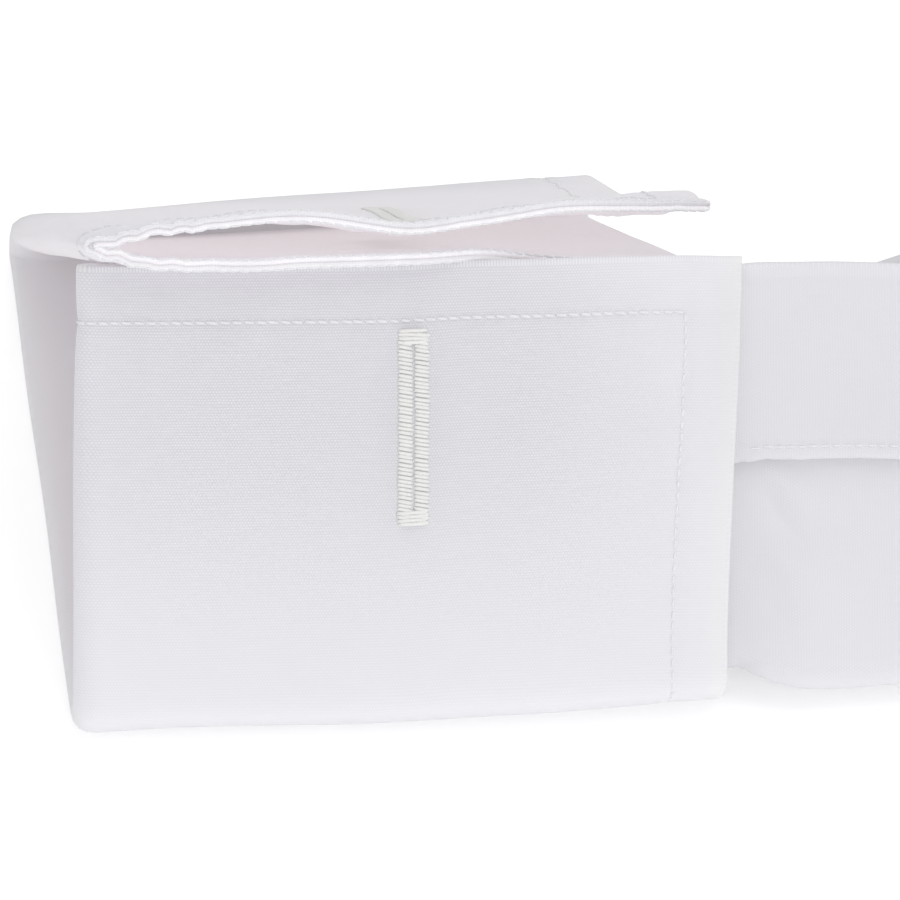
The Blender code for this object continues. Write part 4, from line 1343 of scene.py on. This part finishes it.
# A four-hole button: a rounded rim round a shallow dish, its holes sunk, and two bars of thread.
def makeButton(node, centre, tilt):
    look = buttonLook
    radius, thick = look["radius"], look["thick"]
    profile = [(0, 0), (0.5, 0), (1, 0), (1.5, 0), (2, 0), (2.5, 0), (3, 0), (3.5, 0.02), (3.9, 0.1)]
    profile += [(4.2, 0.28), (4.5, 0.42), (4.8, 0.45), (5.1, 0.42), (5.35, 0.3), (5.52, 0.08)]
    profile += [(radius, -0.25), (radius, -0.9), (5.45, -1.35), (5.1, -1.62)]
    profile += [(4.4, -1.7), (2, -1.7), (0, -1.7)]
    fine = []
    for (r0, z0), (r1, z1) in zip(profile, profile[1:]):
        steps = 4 if r0 < 3.5 and z0 >= 0 and r1 > r0 else 1
        fine += [(mix(r0, r1, k / steps), mix(z0, z1, k / steps)) for k in range(steps)]
    fine.append(profile[-1])
    angles = np.arange(48) * 2 * math.pi / 48
    rings = np.array([[(r * math.cos(a), r * math.sin(a), z) for a in angles] for r, z in fine])
    reach = look["holeFromMiddle"]
    for sx in (-1, 1):
        for sy in (-1, 1):
            off = np.hypot(rings[..., 0] - sx * reach, rings[..., 1] - sy * reach)
            upper = rings[..., 2] > -0.01
            rings[..., 2] -= np.where(upper, 1.15 * smooth((look["holeRadius"] + 0.12 - off) / 0.24), 0)
    rings[..., 2] += thick / 2 - 0.45
    count = rings.shape[0]
    index = np.arange(count * 48).reshape(count, 48)
    over = np.roll(index, -1, axis=1)
    faces = np.stack([index[:-1], index[1:], over[1:], over[:-1]], axis=-1).reshape(-1, 4)
    turn = Matrix.Rotation(tilt, 4, "X")
    place = Matrix.Translation((centre[0] * mm, (centre[1] + planShift) * mm, centre[2] * mm)) @ turn
    made = meshFrom(f"{node}_pearl", rings.reshape(-1, 3) * mm, faces, None, pearl)
    bm = bmesh.new()
    bm.from_mesh(made.data)
    bmesh.ops.remove_doubles(bm, verts=bm.verts, dist=1e-6)
    bmesh.ops.recalc_face_normals(bm, faces=bm.faces)
    bm.to_mesh(made.data)
    bm.free()
    made.matrix_world = place
    lines = []
    up = np.array([0, 0, 1.0])
    for sx in (-1, 1):
        for k in range(4):
            x = sx * reach + (k - 1.5) * 0.3
            t = np.linspace(-1, 1, 7)
            z = np.array([-0.75, 0.02, 0.3, 0.36, 0.3, 0.02, -0.75]) + thick / 2 - 0.45
            y = t * (reach + 0.25 - 0.1 * abs(k - 1.5))
            lines.append((np.stack([x + 0 * t, y, z], axis=-1) * mm, up, np.ones(7)))
    bars = threads(f"{node}_thread", lines, 0.17 * mm, thread)
    bars.matrix_world = place
    for piece in (made, bars):
        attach(piece, "root")
    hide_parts(node)


def makeButtons():
    look = buttonLook
    rise = 0.6 + seamGap + look["thick"] / 2
    for k in range(look["count"]):
        y = look["first"] - k * look["pitch"]
        makeButton(f"button_{k + 1}", (0, y, float(bandHeight(np.array([y]))[0]) + rise + 0.1), 0)
    foot, fold = collarAt("foot", np.array([0.0]))[0], collarAt("fold", np.array([0.0]))[0]
    up = unit(fold - foot)
    out = np.array([0, -up[2], up[1]])
    gap = collarLook["standWall"] + seamGap + 0.2
    centre = mix(foot, fold, 0.5) + out * (gap + 0.8 + seamGap + look["thick"] / 2 + 0.2)
    makeButton("collar_button", centre, math.atan2(up[2], up[1]))


makeButtons()
print("buttons made")


# The camera stands low over the right cuff, looking a little along the sleeve.
def lookAtCuff():
    origin, along, across = (Vector(v) for v in sleeveFrame(-1))
    up = Vector((0, 0, 1))
    forward = (along * 0.1634 + across * 0.7950 - up * 0.5842).normalized()
    right = along * 0.9863 - across * 0.1455 + up * 0.0780
    right = (right - forward * right.dot(forward)).normalized()
    above = right.cross(forward)
    aim = (origin + along * 36 + across * 11.8 + up * 22.0) * mm + right * 0.0038 + above * 0.005
    distance = 0.55
    camera = bpy.data.cameras.new("camera")
    camera.sensor_width = 36
    camera.lens = 36 * 9.2 * distance / mm / 900
    camera.clip_start = 0.01
    holder = bpy.data.objects.new("camera", camera)
    place = Matrix((right, above, -forward)).transposed().to_4x4()
    place.translation = aim - forward * distance
    holder.matrix_world = place
    bpy.context.scene.collection.objects.link(holder)
    bpy.context.scene.camera = holder
    return aim, forward, right, above


aim, forward, right, above = lookAtCuff()

lights = {"sky": 0.6, "top": 9.5, "side": 7.4, "floorGlow": 0.26}


def areaLight(name, place, target, size, power):
    light = bpy.data.lights.new(name, "AREA")
    light.shape = "SQUARE"
    light.size = size
    light.energy = power
    holder = bpy.data.objects.new(name, light)
    holder.location = place
    holder.rotation_euler = (target - place).to_track_quat("-Z", "Y").to_euler()
    bpy.context.scene.collection.objects.link(holder)
    return holder


def setStage():
    world = bpy.data.worlds.new("studio")
    world.use_nodes = True
    world.node_tree.nodes["Background"].inputs["Color"].default_value = (1, 1, 1, 1)
    world.node_tree.nodes["Background"].inputs["Strength"].default_value = lights["sky"]
    bpy.context.scene.world = world
    bpy.context.scene.view_settings.view_transform = "Standard"
    areaLight("top softbox", aim + Vector((0.1, 0.3, 1.5)), aim, 1.6, lights["top"])
    low = aim - Vector((forward.x, forward.y, 0)).normalized() * 1.4 + right * 0.5 + Vector((0, 0, 0.55))
    areaLight("low softbox", low, aim, 1.0, lights["side"])
    paint = Paint("floor paper")
    values = {"Base Color": (0.97, 0.97, 0.97, 1), "Roughness": 0.9, "Specular IOR Level": 0.0}
    values |= {"Emission Color": (1, 1, 1, 1), "Emission Strength": lights["floorGlow"]}
    bpy.ops.mesh.primitive_plane_add(size=24, location=(0, 0, -0.0002))
    floor = bpy.context.object
    floor.name = "floor"
    floor.data.materials.append(paint.finish(paint.surface(values)))


setStage()
